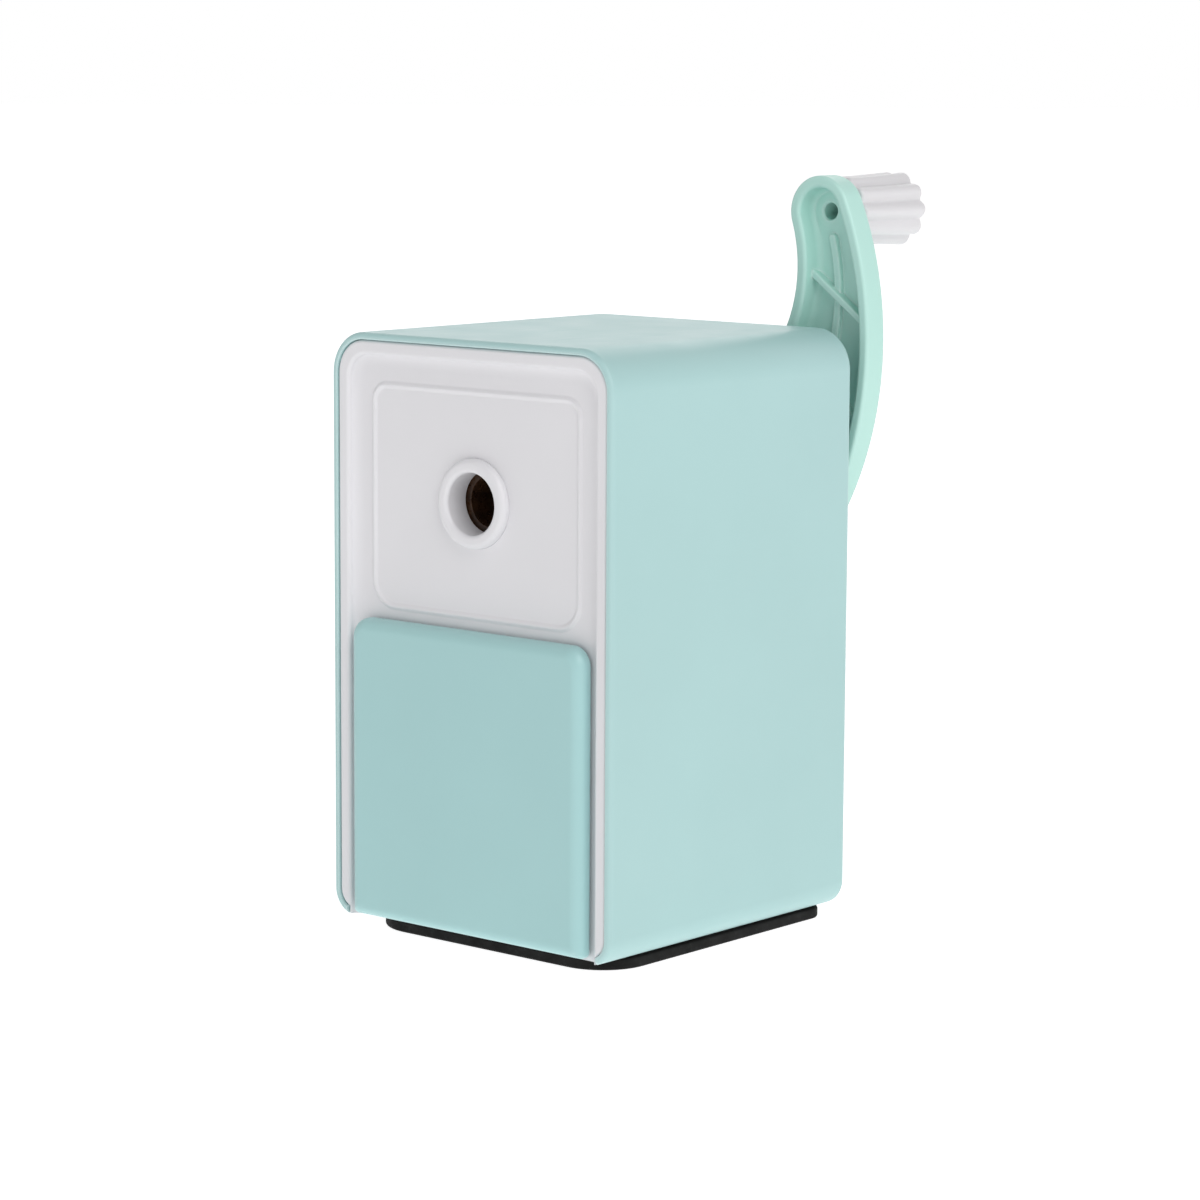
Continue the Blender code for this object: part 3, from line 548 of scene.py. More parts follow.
CUP_Y, CUP_R, CUP_MOUTH_R = REAR - 2.2, 3.1, 3.5
cup_path = [(0, CUP_Y, 0), (CUP_R, CUP_Y, 0.3), (CUP_R, REAR - 0.35, 0)]
cup_path += [(CUP_MOUTH_R, REAR + 0.05, 0), (CUP_MOUTH_R, REAR + 2, 0), (0, REAR + 2, 0)]
cup = eased(cup_path, 4)
for at in POSTS:
    cut(shell, turned("cup", cup, at), rod(1.7, REAR - 6, REAR, at, 32))
seat = [(0, REAR - 6), (4.9, REAR - 6), (4.9, REAR - 0.3), (5.2, REAR), (5.2, REAR + 2), (0, REAR + 2)]
cut(shell, turned("seat", seat))
hand_over(polish(shell), mint_shell, "housing", "mint_shell", "outer_shell")

# %% [markdown]
# ## The white face
# The face is a shallow tray set into the shell's mouth by a flange. Its rim rolls over and sweeps
# down in a broad cove to the field, where a thin raised line frames the pencil hole.
# The cove and the line could be swept and joined, but soft shapes that touch at a tangent leave
# slivers. Instead the cutter is made as their exact counterpart: a plug with the cove on its
# flank and the line as a groove in its end, so that one cut leaves both behind.

# %% Face blank and its plug
(_, face_half), (FACE_Y, _), _ = span("front_panel")
FIELD_Y, FIELD_T, SKIRT_END = -29.6, 2.0, -24.0
face_low, face_high = FLOOR_Z + WALL + GAP, ROOF_Z - WALL - GAP
face_outline = inset_rect(face_half, face_low, face_high, 2.4, 4.9)
SEAM = 0.08
flange, flange_back = -(HALF_W - MOUTH - SEAM - face_half), FRONT + MOUTH_DEEP - GAP
face_path = [(4, SKIRT_END, 0), (0, SKIRT_END, 0.3), (0, flange_back, 0.1)]
face_path += [(flange, flange_back, 0.1), (flange, FACE_Y, 0.6), (6, FACE_Y, 0)]
face = loft("face", [(face_outline(t), y) for t, y in eased(face_path)])
foot_half = FOOT_HALF - GAP
join(face, block((-foot_half, foot_half), (FACE_Y, FIELD_Y + FIELD_T), (FLOOR_Z + 0.25, 12), 0.6))

ROLL_R, ROLL_START, COVE_END = 0.7, 0.9, 3.8
roll_turns = [pi / 2 * i / 8 for i in range(8)]
cove_turns = [pi / 2 * i / 14 for i in range(15)]
plug_path = [(ROLL_START, FACE_Y - 4)]
plug_path += [(ROLL_START + ROLL_R * sin(a), FACE_Y + ROLL_R - ROLL_R * cos(a)) for a in roll_turns]
deep, wide = FIELD_Y - FACE_Y - ROLL_R, COVE_END - ROLL_START - ROLL_R
plug_path += [(COVE_END - wide * cos(a), FACE_Y + ROLL_R + deep * sin(a)) for a in cove_turns]
rings = [(rounded_rect(face_half - t, -6, face_high - t, 2.2, 5.7 - t), y) for t, y in plug_path]
BEAD_STEPS, BEAD_W, BEAD_RISE = 12, 1.5, 0.36
BEAD_HALF, BEAD_LOW, BEAD_HIGH = 23.2, 56, 94.1
for i in range(BEAD_STEPS + 1):
    share = i / BEAD_STEPS
    t = BEAD_W * share - 0.3
    rise = BEAD_RISE * (1 - cos(2 * pi * share)) / 2
    line = rounded_rect(BEAD_HALF - t, BEAD_LOW + t, BEAD_HIGH - t, 5 - t, 3.2 - t)
    rings.append((line, FIELD_Y - rise))
cut(face, loft("plug", rings))
print("field", FIELD_Y - FACE_Y, "mm below the rim")

# %% [markdown]
# The rest of the face is hidden work: the way for the drawer, the hollow behind the field, four
# posts that reach back to the case screws and four bosses that hold the gear housing.

# %% Face openings and posts
back_hollow = rounded_rect(26.9, 6.4, 98.2, 1.5, 3)
cut(face, loft("hollow", [(back_hollow, FIELD_Y + FIELD_T), (back_hollow, SKIRT_END + 6)]))
drawer_way = rounded_rect(24.6, 6.4, 50.3, 1.0, 1.0)
cut(face, loft("way", [(drawer_way, FACE_Y - 6), (drawer_way, SKIRT_END + 6)]))
BOSS_AT = 17.6
BOSSES = [(x, AXIS_Z + z) for x in (-BOSS_AT, BOSS_AT) for z in (-BOSS_AT, BOSS_AT)]
post_end = span("front_panel")[1][1]
join(face, *[rod(3.0, FIELD_Y + 1.5, post_end, at) for at in POSTS])
join(face, *[rod(2.9, FIELD_Y + 1.5, -26.3, at, 48) for at in BOSSES])
cut(face, *[rod(1.6, 14, REAR, at, 32) for at in POSTS])
cut(face, *[rod(1.5, -28.5, -20, at, 32) for at in BOSSES])
SEAT_R, WAY_R, seat_y = 7.53, 6.5, FIELD_Y + 1
guide_way = [(0, FIELD_Y - 4), (SEAT_R, FIELD_Y - 4), (SEAT_R, seat_y), (WAY_R, seat_y)]
guide_way += [(WAY_R, FIELD_Y + 6), (0, FIELD_Y + 6)]
cut(face, turned("guide_seat", guide_way, steps=128))
hand_over(polish(face), white_panel, "housing", "white_panel", "front_panel")

# %% [markdown]
# ## The pencil guide
# A separate white ring lines the pencil hole. It stands a millimetre and a half proud of the
# field, with a plump outer shoulder and a lip that is rounded into the bore so that a pencil
# finds its way in. It is a round part, so its section is drawn once and turned.

# %% Guide ring
guide_back, guide_lip = span("pencil_guide_ring")[1][1], FIELD_Y - 1.5
BORE = 5.15
section = [(BORE, guide_back, 0.2), (6.2, guide_back, 0.2), (6.2, FIELD_Y + 0.7, 0.1)]
section += [(7.5, FIELD_Y + 0.7, 0.1), (7.5, guide_lip, 1.05)]
section += [(BORE, guide_lip, 0.75), (BORE, guide_back, 0)]
guide = turned("guide_ring", eased([(BORE, -28, 0)] + section, 9)[:-1], steps=128)
hand_over(polish(guide, 50), white_panel, "housing", "white_panel", "pencil_guide_ring")

# %% [markdown]
# ## The drawer
# The drawer's front is a thick mint tile with a plump rounded edge, which you grip at its top
# corners. It is one loft over an eased path. Behind it hangs a thin white tray, pegged to the
# tile. The tray is lofted upwards: over the outside, over its lip and down the inside.

# %% Drawer front and tray
(_, tile_half), (tile_front, _), (tile_low, tile_high) = span("drawer_front")
tile_back = FIELD_Y - GAP
tile_outline = inset_rect(tile_half, tile_low, tile_high, 1.0, 3.4)
tile_path = [(5, tile_back, 0), (0, tile_back, 0.6), (0, tile_front, 2.1), (5, tile_front, 0)]
tile = loft("drawer_tile", [(tile_outline(t), y) for t, y in eased(tile_path, 9)])
PEGS = [(x, z) for x in (-18, 18) for z in (15, 42)]
join(tile, *[rod(1.5, tile_back - 0.4, FIELD_Y + 2.4, at, 40) for at in PEGS])
hand_over(polish(tile), mint_drawer, "drawer", "mint_drawer", "drawer_front")

(_, tray_half), (tray_front, tray_back), (tray_low, tray_high) = span("drawer_bin")
TRAY_WALL = 1.6


def tray_outline(t):
    return rounded_rect(tray_half - t, tray_front + t, tray_back - t, 2.0 - t * 0.6, 2.6 - t * 0.6, 8)


tray_path = [(6, tray_low, 0), (0, tray_low, 1.4), (0, tray_high, 0.4), (TRAY_WALL, tray_high, 0.4)]
tray_path += [(TRAY_WALL, tray_low + TRAY_WALL, 1.6), (6, tray_low + TRAY_WALL, 0)]
tray = loft("drawer_tray", [(tray_outline(t), z) for t, z in eased(tray_path, 6)], upright=True)
cut(tray, *[rod(1.8, FIELD_Y - 2, FIELD_Y + 3, at, 40) for at in PEGS])
hand_over(polish(tray), white_inner, "drawer", "white_inner", "drawer_bin")

# %% [markdown]
# ## The crank arm
# The arm is a comma: a broad round end on the shaft, a long back, a small end at the knob and a
# hollow waist. Each bend is an arc, and the next one starts where the last is tangent to it, so
# four circles fix the whole outline. Shrinking the outline only changes the four radii, which is
# just what the loft needs for a channel with an even wall, open towards the box.

# %% Arm outline
knob_x, knob_z = span("knob")[0], span("knob")[2]
KNOB = (round(sum(knob_x) / 2, 3), round(sum(knob_z) / 2, 3))
HUB_END, HUB_R, KNOB_END_R = (3.6, AXIS_Z - 4.0), 18.0, 6.2
BACK_R, WAIST_R = 61.8, 24.5
RIM_Y, BACK_Y, ARM_WALL, ARM_PLATE = 34.5, 40.0, 2.0, 1.8


def meet(c0, r0, c1, r1):
    """Where two circles about c0 and c1 cross, on the left of the line from c0 to c1."""
    dx, dz = c1[0] - c0[0], c1[1] - c0[1]
    gap = hypot(dx, dz)
    along = (r0 * r0 - r1 * r1 + gap * gap) / (2 * gap)
    off = sqrt(r0 * r0 - along * along)
    return c0[0] + (along * dx - off * dz) / gap, c0[1] + (along * dz + off * dx) / gap


def bearing(origin, target, least=-pi):
    """The direction to a target, as an angle of at least the one given."""
    angle = atan2(target[1] - origin[1], target[0] - origin[0])
    return angle if angle >= least else angle + 2 * pi


back_centre = meet(HUB_END, BACK_R - HUB_R, KNOB, BACK_R - KNOB_END_R)
waist_centre = meet(HUB_END, WAIST_R + HUB_R, KNOB, WAIST_R + KNOB_END_R)
back_start, back_end = bearing(back_centre, HUB_END), bearing(back_centre, KNOB)
print("knob end", KNOB, "back arc", round(BACK_R * (back_end - back_start), 1), "mm long")


def arm_outline(t):
    """The comma, drawn in by t millimetres."""
    points = arc(*back_centre, BACK_R - t, back_start, back_end, 44)
    points += arc(*KNOB, KNOB_END_R - t, back_end, bearing(KNOB, waist_centre, back_end), 26)[1:]
    first, last = bearing(waist_centre, KNOB), bearing(waist_centre, HUB_END)
    points += arc(*waist_centre, WAIST_R + t, first, last, 24)[1:]
    turn = bearing(HUB_END, waist_centre)
    points += arc(*HUB_END, HUB_R - t, turn, bearing(back_centre, HUB_END, turn), 44)[1:-1]
    return points


# %% [markdown]
# Inside the channel a long low rib bows from the knob end into the hub, and two taller straight
# ones cross it. All are bars with round ends, bent or straight, lofted with a soft top edge.
# The hub that takes the shaft, the pad round the knob's pin and the pin itself are turned parts.

# %% Arm channel, ribs and hub
channel_path = [(4, BACK_Y, 0), (0, BACK_Y, 1.3), (0, RIM_Y, 0.6), (ARM_WALL, RIM_Y, 0.7)]
channel_path += [(ARM_WALL + 0.3, BACK_Y - ARM_PLATE, 1.3), (4, BACK_Y - ARM_PLATE, 0)]
arm = loft("arm", [(arm_outline(t), y) for t, y in eased(channel_path)])
hub = [(0, 33.0, 0), (6.0, 33.0, 0.4), (6.0, BACK_Y - ARM_PLATE - 0.02, 0.3)]
hub += [(6.6, BACK_Y - 1, 0), (0, BACK_Y - 1, 0)]
join(arm, turned("hub", eased(hub, 5)))
PAD_Y = BACK_Y - 2.05
pad = [(0, PAD_Y, 0), (2.8, PAD_Y, 0.8), (5.2, BACK_Y - 1.7, 0)]
pad += [(5.2, BACK_Y - 1, 0), (0, BACK_Y - 1, 0)]
join(arm, turned("pad", eased(pad, 5), KNOB))


def bar(start, end, half_t=0.62):
    """A function that gives a straight bar with round ends, drawn in by t."""
    lean = atan2(end[1] - start[1], end[0] - start[0])
    return lambda t: arc(*end, half_t - t, lean - pi / 2, lean + pi / 2, 8) + arc(
        *start, half_t - t, lean + pi / 2, lean + 3 * pi / 2, 8
    )


def long_rib(t):
    """A bar that bows from the knob end into the hub."""
    bow, first, last = (-12.8, AXIS_Z + 32.3), radians(-58), radians(15.5)
    ends = [(bow[0] + 36 * cos(a), bow[1] + 36 * sin(a)) for a in (last, first)]
    points = arc(*bow, 36.75 - t, first, last, 30) + arc(*ends[0], 0.75 - t, last, last + pi, 8)[1:]
    points += arc(*bow, 35.25 + t, last, first, 30)[1:]
    return points + arc(*ends[1], 0.75 - t, first + pi, first + 2 * pi, 8)[1:-1]


def rib(outline, top, foot):
    path = eased([(0.45, top, 0), (0, top, 0.3), (0, foot, 0)], 4)
    return loft("rib", [(outline(t), y) for t, y in path])


join(arm, rib(long_rib, BACK_Y - 2.7, BACK_Y - 0.9))
join(arm, rib(bar((16.6, AXIS_Z + 37.1), (30.9, AXIS_Z + 26.6)), RIM_Y + 1.8, BACK_Y - 1.1))
join(arm, rib(bar((13.2, AXIS_Z + 23.0), (29.3, AXIS_Z + 9.4)), RIM_Y + 2.0, BACK_Y - 1.0))
print("arm channel with ribs:", len(arm.data.polygons), "faces")

# %% [markdown]
# The knob snaps over a hollow pin. Its bore runs right through the arm, and it is the small dark
# hole that shows in the middle of the pad. The shaft's bore goes through the hub.

# %% Arm pin and bores
PIN_END = BACK_Y + 14.0
pin = [(0, PIN_END, 0), (2.3, PIN_END, 0.2), (2.9, PIN_END - 1.0, 0.1), (2.9, PIN_END - 1.4, 0.1)]
pin += [(2.5, PIN_END - 2.0, 0.1), (2.5, BACK_Y - 1, 0), (0, BACK_Y - 1, 0)]
join(arm, turned("pin", eased(pin, 3), KNOB, 64))
pin_bore = [(0, 30), (1.7, 30), (1.7, PAD_Y), (1.45, PAD_Y + 0.25)]
pin_bore += [(1.45, PIN_END + 3), (0, PIN_END + 3)]
cut(arm, turned("pin_bore", pin_bore, KNOB, 64), rod(3.3, 30, BACK_Y + 3, steps=64))
hand_over(polish(arm), mint_arm, "crank", "mint_arm", "crank_arm")

# %% [markdown]
# ## Geometry Nodes, in small
# Flutes, screws and the cutter's teeth all follow a rule, so Geometry Nodes make them. A tree is
# built once in the script with named inputs for its sizes, run on an object, and frozen into a
# plain mesh. `run_tree` sets each input by its identifier before the object is first looked at,
# because a name may change and an identifier can't.


# %% Tree helpers
def new_tree(name, inputs):
    """A geometry tree with named inputs, given as (name, kind, default)."""
    tree = bpy.data.node_groups.new(name, "GeometryNodeTree")
    sockets = tree.interface
    sockets.new_socket("Geometry", in_out="INPUT", socket_type="NodeSocketGeometry")
    for label, kind, default in inputs:
        made = sockets.new_socket(label, in_out="INPUT", socket_type="NodeSocket" + kind)
        if default is not None:
            made.default_value = default
    sockets.new_socket("Geometry", in_out="OUTPUT", socket_type="NodeSocketGeometry")
    return tree, tree.nodes.new("NodeGroupInput").outputs


def end_tree(tree, geometry, finish_input):
    """Every tree ends the same way: real geometry, then its material."""
    real = add(tree, "GeometryNodeRealizeInstances", {0: geometry}).outputs[0]
    dressed = add(tree, "GeometryNodeSetMaterial", {"Geometry": real, "Material": finish_input})
    tree.links.new(dressed.outputs[0], tree.nodes.new("NodeGroupOutput").inputs[0])


def run_tree(piece, tree, **values):
    """Run a tree on a piece with its named inputs set, and freeze the result."""
    step = piece.modifiers.new(tree.name, "NODES")
    step.node_group = tree
    for item in tree.interface.items_tree:
        if item.in_out == "INPUT" and item.name in values:
            step[item.identifier] = values[item.name]
    return settle(piece)


def gn_math(tree, operation, *values):
    """The result of one operation on numbers."""
    return add(tree, "ShaderNodeMath", dict(enumerate(values)), operation=operation).outputs[0]


def gn_vector(tree, operation, *values):
    """A node that does one operation on vectors."""
    return add(tree, "ShaderNodeVectorMath", dict(enumerate(values)), operation=operation)


# %% [markdown]
# ## The fluted knob
# The knob is a white grip with ten round flutes that flares towards its free end. The blank is
# turned first, plain and round, with its bore and its snap groove. The tree then presses the
# valleys in: every point of the outside moves towards the axis by a wave that depends only on
# its angle, round on the crests and narrow in the valleys. A mask keeps the bore round.

# %% Flute tree
flute_inputs = [("Axis", "Vector", None), ("Lobes", "Float", 10.0)]
flute_inputs += [("Depth", "Float", 0.001), ("Finish", "Material", None)]
flute_tree, given = new_tree("flutes", flute_inputs)
place = add(flute_tree, "GeometryNodeInputPosition").outputs[0]
arm_vector = gn_vector(flute_tree, "SUBTRACT", place, given["Axis"]).outputs[0]
flat = gn_vector(flute_tree, "MULTIPLY", arm_vector, (1, 0, 1)).outputs[0]
outward = gn_vector(flute_tree, "NORMALIZE", flat).outputs[0]
reach = gn_vector(flute_tree, "LENGTH", flat).outputs["Value"]
parts_of = add(flute_tree, "ShaderNodeSeparateXYZ", {0: flat}).outputs
angle = gn_math(flute_tree, "ARCTAN2", parts_of["Z"], parts_of["X"])
half_lobes = gn_math(flute_tree, "DIVIDE", given["Lobes"], 2.0)
half_wave = gn_math(flute_tree, "COSINE", gn_math(flute_tree, "MULTIPLY", angle, half_lobes))
squared = gn_math(flute_tree, "MULTIPLY", half_wave, half_wave)
VALLEY_ROUND = 0.03
crest = gn_math(flute_tree, "SQRT", gn_math(flute_tree, "ADD", squared, VALLEY_ROUND))
press = gn_math(flute_tree, "SUBTRACT", crest, sqrt(1 + VALLEY_ROUND))
reach_values = {"Value": reach, 1: 3.4 * MM, 2: 5.0 * MM}
mask = add(flute_tree, "ShaderNodeMapRange", reach_values, interpolation_type="SMOOTHSTEP")
outside = mask.outputs[0]
push = gn_math(flute_tree, "MULTIPLY", gn_math(flute_tree, "MULTIPLY", press, outside), given["Depth"])
shift_values = {0: outward, "Scale": push}
shift = add(flute_tree, "ShaderNodeVectorMath", shift_values, operation="SCALE").outputs[0]
fluted = add(flute_tree, "GeometryNodeSetPosition", {"Geometry": given["Geometry"], "Offset": shift})
end_tree(flute_tree, fluted.outputs[0], given["Finish"])

# %% Knob
(KNOB_START, KNOB_FREE), LOBES, FLUTE = span("knob")[1], 10.0, 1.15
crest_r, free_r, FINE_STEP = 6.0, 6.62, 0.8
knob_path = [(2.8, KNOB_START, 0.15), (crest_r, KNOB_START, 0.6), (crest_r + 0.1, KNOB_START + 6, 6)]
knob_path += [(free_r, KNOB_FREE, 1.6), (0, KNOB_FREE, 0)]
outer = eased([(2.8, KNOB_START + 1, 0)] + knob_path, 9)
fine = [outer[0]]
for (r0, y0), (r1, y1) in zip(outer, outer[1:]):
    cuts = max(1, int(hypot(r1 - r0, y1 - y0) / FINE_STEP))
    fine += [(r0 + (r1 - r0) * i / cuts, y0 + (y1 - y0) * i / cuts) for i in range(1, cuts + 1)]
bore = [(0, KNOB_START + 14.3), (3.2, PIN_END + GAP), (3.2, PIN_END - 2.4), (2.8, PIN_END - 2.6)]
knob = turned("knob_grip", bore + fine, KNOB, steps=240)
flute_values = {"Axis": (KNOB[0] * MM, 0.0, KNOB[1] * MM), "Lobes": LOBES, "Depth": FLUTE * MM}
run_tree(knob, flute_tree, Finish=knob_white, **flute_values)
hand_over(polish(knob, 40), knob_white, "knob_grip", "knob_white", "knob")

# %% [markdown]
# ## Screws by the corner
# Four case screws hold the shell to the face's posts, and four more hold the gear housing. Each
# set sits at the corners of a rectangle, so the tree lays out a grid of two by two points, puts
# the same screw on each, and gives every screw its own quarter of a turn from a fixed seed.
# One screw is a turned body with a cross pressed into its head.

# %% Corner tree
corner_inputs = [("Across", "Float", 0.05), ("Upright", "Float", 0.03)]
corner_inputs += [("Middle", "Vector", None), ("Seed", "Int", 5), ("Finish", "Material", None)]
corner_tree, given = new_tree("corner_screws", corner_inputs)
grid_values = {"Size X": given["Across"], "Size Y": given["Upright"], "Vertices X": 2, "Vertices Y": 2}
corners = add(corner_tree, "GeometryNodeMeshGrid", grid_values).outputs[0]
stood_values = {"Geometry": corners, "Rotation": (pi / 2, 0, 0), "Translation": given["Middle"]}
stood = add(corner_tree, "GeometryNodeTransform", stood_values).outputs[0]
turn_values = {2: 0.0, 3: pi, "Seed": given["Seed"]}
turns = add(corner_tree, "FunctionNodeRandomValue", turn_values, data_type="FLOAT").outputs[1]
about_y = add(corner_tree, "ShaderNodeCombineXYZ", {"Y": turns}).outputs[0]
put_values = {"Points": stood, "Instance": given["Geometry"], "Rotation": about_y}
placed = add(corner_tree, "GeometryNodeInstanceOnPoints", put_values).outputs[0]
end_tree(corner_tree, placed, given["Finish"])


# %% Case and housing screws
def screw(name, head_y, head_r, head_h, shank_r, tip_y):
    """A cross-head screw on the Y axis, its head towards +Y."""
    top = head_y + head_h
    path = [(0, top, 0), (head_r * 0.72, top - 0.1, 0.5), (head_r, head_y + 0.35, 0.3)]
    path += [(head_r - 0.05, head_y, 0.05), (shank_r, head_y, 0.1), (shank_r, tip_y + 1, 0.3)]
    path += [(0.05, tip_y, 0), (0, tip_y, 0)]
    made = turned(name, eased(path, 5), (0, 0), 40)
    slot_half = head_r * 0.55
    for turn in (0, pi / 2):
        slot = block((-slot_half, slot_half), (top - 0.85, top + 2), (-0.36, 0.36), 0.1)
        slot.data.transform(Matrix.Rotation(turn, 4, "Y"))
        cut(made, slot)
    return made


HEAD_H = 1.5
case_tip, case_top = span("case_screw_1")[1]
case = screw("case_screws", case_top - HEAD_H, 2.8, HEAD_H, 1.3, case_tip)
case_values = {"Across": 49.6 * MM, "Upright": 32 * MM, "Middle": (0, 0, 76 * MM), "Seed": 5}
run_tree(case, corner_tree, Finish=screw_steel, **case_values)
case_nodes = [f"case_screw_{i}" for i in (1, 2, 3, 4)]
hand_over(polish(case, 35), screw_steel, "housing", "screw_steel", *case_nodes)

house_tip, house_top = span("housing_screw_1")[1]
house = screw("housing_screws", house_top - HEAD_H, 2.5, HEAD_H, 1.2, house_tip)
house_side = 2 * BOSS_AT * MM
house_values = {"Across": house_side, "Upright": house_side, "Middle": (0, 0, AXIS_Z * MM), "Seed": 9}
run_tree(house, corner_tree, Finish=screw_steel, **house_values)
house_nodes = [f"housing_screw_{i}" for i in (1, 2, 3, 4)]
hand_over(polish(house, 35), screw_steel, "housing", "screw_steel", *house_nodes)

# %% [markdown]
# ## The helical cutter
# The pencil is shaved by a steel milling cutter with ten teeth that wind round it. Its section
# is a saw-toothed star. The tree draws that star from a circle with a curve for the tooth's
# shape, winds a straight line by its tilt, and sweeps the star along it. The bore for the axle
# is drilled afterwards, and the cutter is laid on its slanted axis.

# %% Cutter tree
cutter_inputs = [("Teeth", "Float", 10.0), ("Root", "Float", 0.0045), ("Tooth", "Float", 0.001)]
cutter_inputs += [("Length", "Float", 0.02), ("Twist", "Float", 2.1), ("Finish", "Material", None)]
cutter_tree, given = new_tree("helical_teeth", cutter_inputs)
circle_values = {"Resolution": 200, "Radius": 1.0}
circle = add(cutter_tree, "GeometryNodeCurvePrimitiveCircle", circle_values).outputs[0]
place = add(cutter_tree, "GeometryNodeInputPosition").outputs[0]
spot = add(cutter_tree, "ShaderNodeSeparateXYZ", {0: place}).outputs
around = gn_math(cutter_tree, "DIVIDE", gn_math(cutter_tree, "ARCTAN2", spot["Y"], spot["X"]), 2 * pi)
turned_on = gn_math(cutter_tree, "ADD", around, 1.00001)
phase = gn_math(cutter_tree, "FRACT", gn_math(cutter_tree, "MULTIPLY", turned_on, given["Teeth"]))
tooth = add(cutter_tree, "ShaderNodeFloatCurve", {"Value": phase})
curve = tooth.mapping.curves[0]
curve.points[0].location, curve.points[1].location = (0.0, 1.0), (1.0, 1.0)
for share, height in ((0.12, 1.0), (0.2, 0.0), (0.7, 0.2)):
    curve.points.new(share, height)
for point in curve.points:
    point.handle_type = "VECTOR"
tooth.mapping.update()
tooth_height = gn_math(cutter_tree, "MULTIPLY", tooth.outputs[0], given["Tooth"])
radius = gn_math(cutter_tree, "ADD", given["Root"], tooth_height)
star_values = {0: place, "Scale": radius}
star_place = add(cutter_tree, "ShaderNodeVectorMath", star_values, operation="SCALE").outputs[0]
set_values = {"Geometry": circle, "Position": star_place}
star = add(cutter_tree, "GeometryNodeSetPosition", set_values).outputs[0]
line_end = add(cutter_tree, "ShaderNodeCombineXYZ", {"Z": given["Length"]}).outputs[0]
line = add(cutter_tree, "GeometryNodeCurvePrimitiveLine", {"End": line_end}).outputs[0]
stations = add(cutter_tree, "GeometryNodeResampleCurve", {"Curve": line, "Count": 49}).outputs[0]
share = add(cutter_tree, "GeometryNodeSplineParameter").outputs["Factor"]
tilt = gn_math(cutter_tree, "MULTIPLY", share, given["Twist"])
wound = add(cutter_tree, "GeometryNodeSetCurveTilt", {"Curve": stations, "Tilt": tilt}).outputs[0]
sweep_values = {"Curve": wound, "Profile Curve": star, "Fill Caps": True}
swept = add(cutter_tree, "GeometryNodeCurveToMesh", sweep_values).outputs[0]
end_tree(cutter_tree, swept, given["Finish"])

# %% Cutter on its slanted axis
TILT, CUTTER_OFFSET, HEAD_Y = radians(10.5), 9.9, -18.2
seed_mesh = bmesh.new()
bmesh.ops.create_cube(seed_mesh, size=1)
cutter = new_piece("cutter", seed_mesh)
cutter_length = 20.6
cutter_values = {"Teeth": 10.0, "Root": 4.5 * MM, "Tooth": 1.0 * MM}
cutter_values |= {"Length": cutter_length * MM, "Twist": radians(-120)}
run_tree(cutter, cutter_tree, Finish=cutter_steel, **cutter_values)
shape = bmesh.new()
shape.from_mesh(cutter.data)
bmesh.ops.remove_doubles(shape, verts=shape.verts, dist=1e-7)
bmesh.ops.recalc_face_normals(shape, faces=shape.faces)
shape.to_mesh(cutter.data)
shape.free()
cutter.data.transform(Matrix.Rotation(-pi / 2, 4, "X"))
cut(cutter, rod(1.8, -5, cutter_length + 5, (0, 0), 48))
head = Matrix.Translation(Vector((0, HEAD_Y, AXIS_Z - CUTTER_OFFSET)) * MM)
slant = head @ Matrix.Rotation(TILT, 4, "X")
cutter.data.transform(slant @ Matrix.Translation(Vector((0, 2.9, 0)) * MM))
hand_over(polish(cutter, 25), cutter_steel, "cutter", "cutter_steel", "helical_cutter")
print("cutter box", [round(v / MM, 1) for v in cutter.dimensions], "CAD", span("helical_cutter"))

# %% [markdown]
# ## Round fixings at the back
# A brass bush carries the shaft through the rear wall. The crank is held on the shaft by a
# washer and a dome-headed screw, the only bright metal that shows outside. All three are turned.

# %% Bush, washer and crank screw
bush_y0, bush_y1 = span("shaft_bush")[1]
bush_path = [(3.3, bush_y0, 0), (6.5, bush_y0, 0.2), (6.5, bush_y0 + 1, 0.2), (4.6, bush_y0 + 1, 0.1)]
bush_path += [(4.6, bush_y1, 0.3), (3.3, bush_y1, 0.2), (3.3, bush_y0, 0)]
bush = turned("bush", eased(bush_path, 5)[:-1])
hand_over(polish(bush, 40), brass_bush, "housing", "brass_bush", "shaft_bush")

washer_y0, washer_y1 = span("crank_washer")[1]
washer_path = [(1.9, washer_y0, 0), (5, washer_y0, 0.12), (5, washer_y1, 0.2)]
washer_path += [(1.9, washer_y1, 0.1), (1.9, washer_y0, 0)]
washer = turned("washer", eased(washer_path, 5)[:-1])
hand_over(polish(washer, 40), screw_steel, "crank", "screw_steel", "crank_washer")

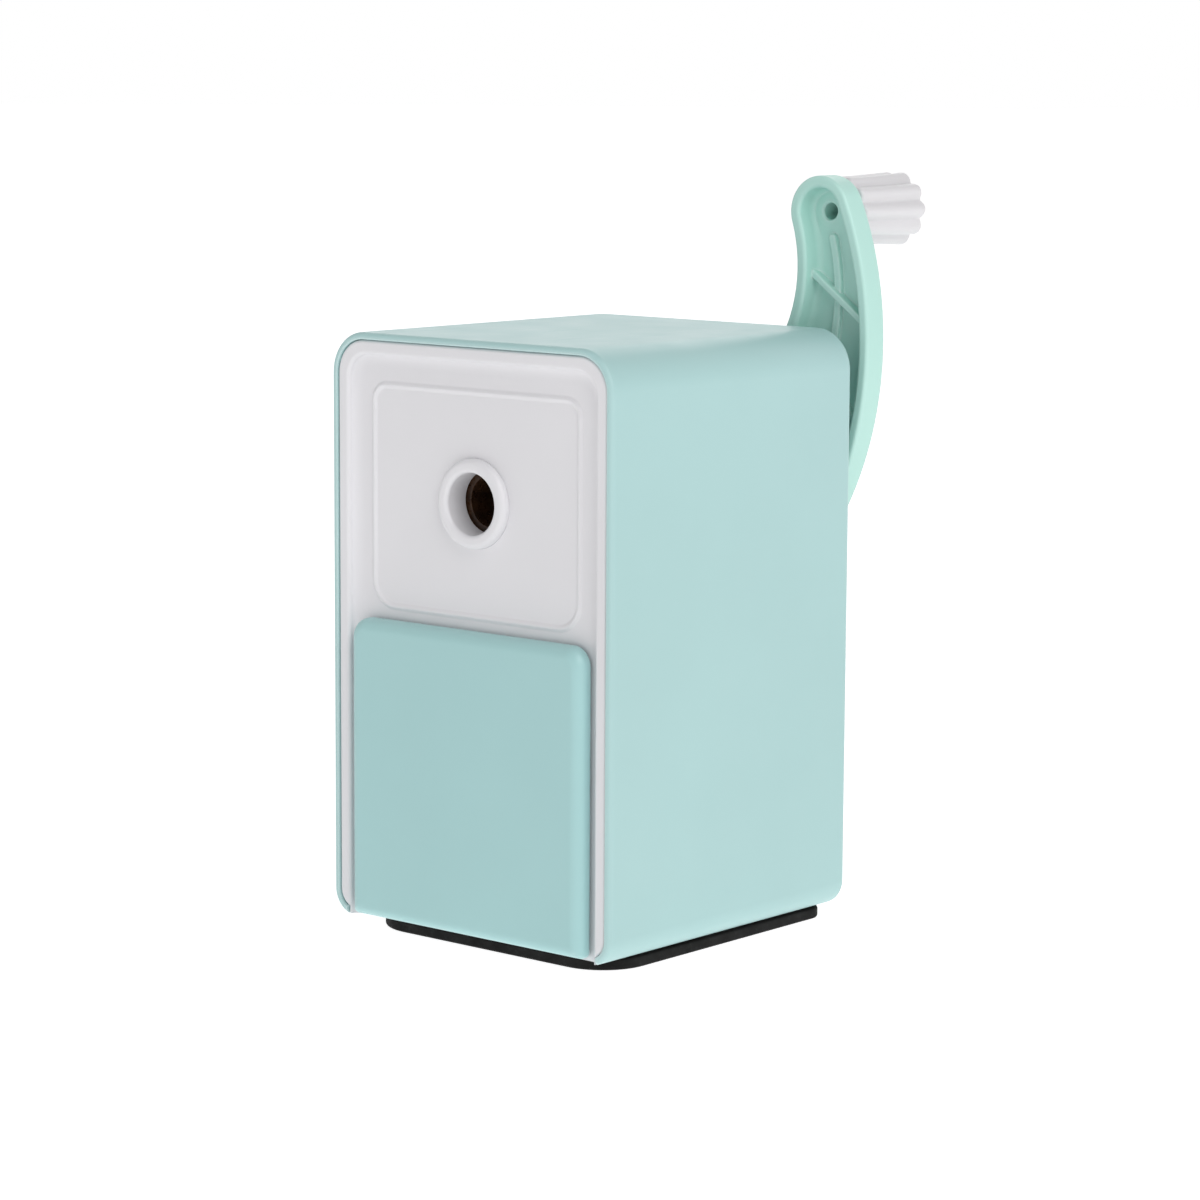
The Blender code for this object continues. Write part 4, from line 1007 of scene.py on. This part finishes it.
screw_y0, screw_y1 = span("crank_screw")[1]
dome_drops = ((0, 0), (1.1, 0.08), (2.0, 0.32), (2.7, 0.75), (3.12, 1.25), (3.3, 1.7))
dome = [(r, screw_y1 - drop) for r, drop in dome_drops + ((3.26, 1.9), (1.5, 1.9))]
dome += [(1.5, screw_y0 + 0.5), (1.1, screw_y0), (0, screw_y0)]
crank_screw = turned("crank_bolt", dome, steps=72)
for turn in (0, pi / 2):
    slot = block((-1.8, 1.8), (screw_y1 - 1.1, screw_y1 + 2), (-0.4, 0.4), 0.15)
    slot.data.transform(Matrix.Translation((0, 0, AXIS_Z * MM)) @ Matrix.Rotation(turn + 0.4, 4, "Y"))
    cut(crank_screw, slot)
hand_over(polish(crank_screw, 35), screw_steel, "crank", "screw_steel", "crank_screw")

# %% [markdown]
# ## The rubber pad
# The sharpener stands on a thin black pad with broad corners. It is lofted upwards with a small
# soft edge above and below, and its stippled skin comes from the finish.

# %% Pad
(_, pad_half), (pad_y0, pad_y1), (_, pad_top) = span("base_pad")


def pad_outline(t):
    return rounded_rect(pad_half - t, pad_y0 + t, pad_y1 - t, 9 - t, max(3 - t, 0.3))


pad_path = eased([(4, 0, 0), (0, 0, 0.5), (0, pad_top, 0.45), (4, pad_top, 0)], 5)
base_pad = loft("rubber_pad", [(pad_outline(t), z) for t, z in pad_path], upright=True)
hand_over(polish(base_pad), black_pad, "housing", "black_pad", "base_pad")

# %% [markdown]
# ## The parts that stay as they are
# The gear housing and its cap, the ring gear and pinion, the rotor, the axle, the shaft and its
# pin and clip already have their right shapes. They keep their CAD meshes and only change their
# finish, through their material slots.

# %% Finishes for the CAD parts
kept = {
    "base_plate": white_panel,
    "gear_housing": white_inner,
    "housing_cap": white_inner,
    "ring_gear": gear_steel,
    "cutter_pinion": gear_steel,
    "cutter_axle": pin_steel,
    "cutter_carrier": dark_carrier,
    "drive_shaft": pin_steel,
    "shaft_pin": pin_steel,
    "shaft_clip": pin_steel,
    "base_screw_1": screw_steel,
    "base_screw_2": screw_steel,
}
for node, finish in kept.items():
    body = frame["nodes"][node]
    if not body.material_slots:
        body.data.materials.append(finish)
    for place in body.material_slots:
        place.material = finish
print(len(kept), "CAD parts dressed")
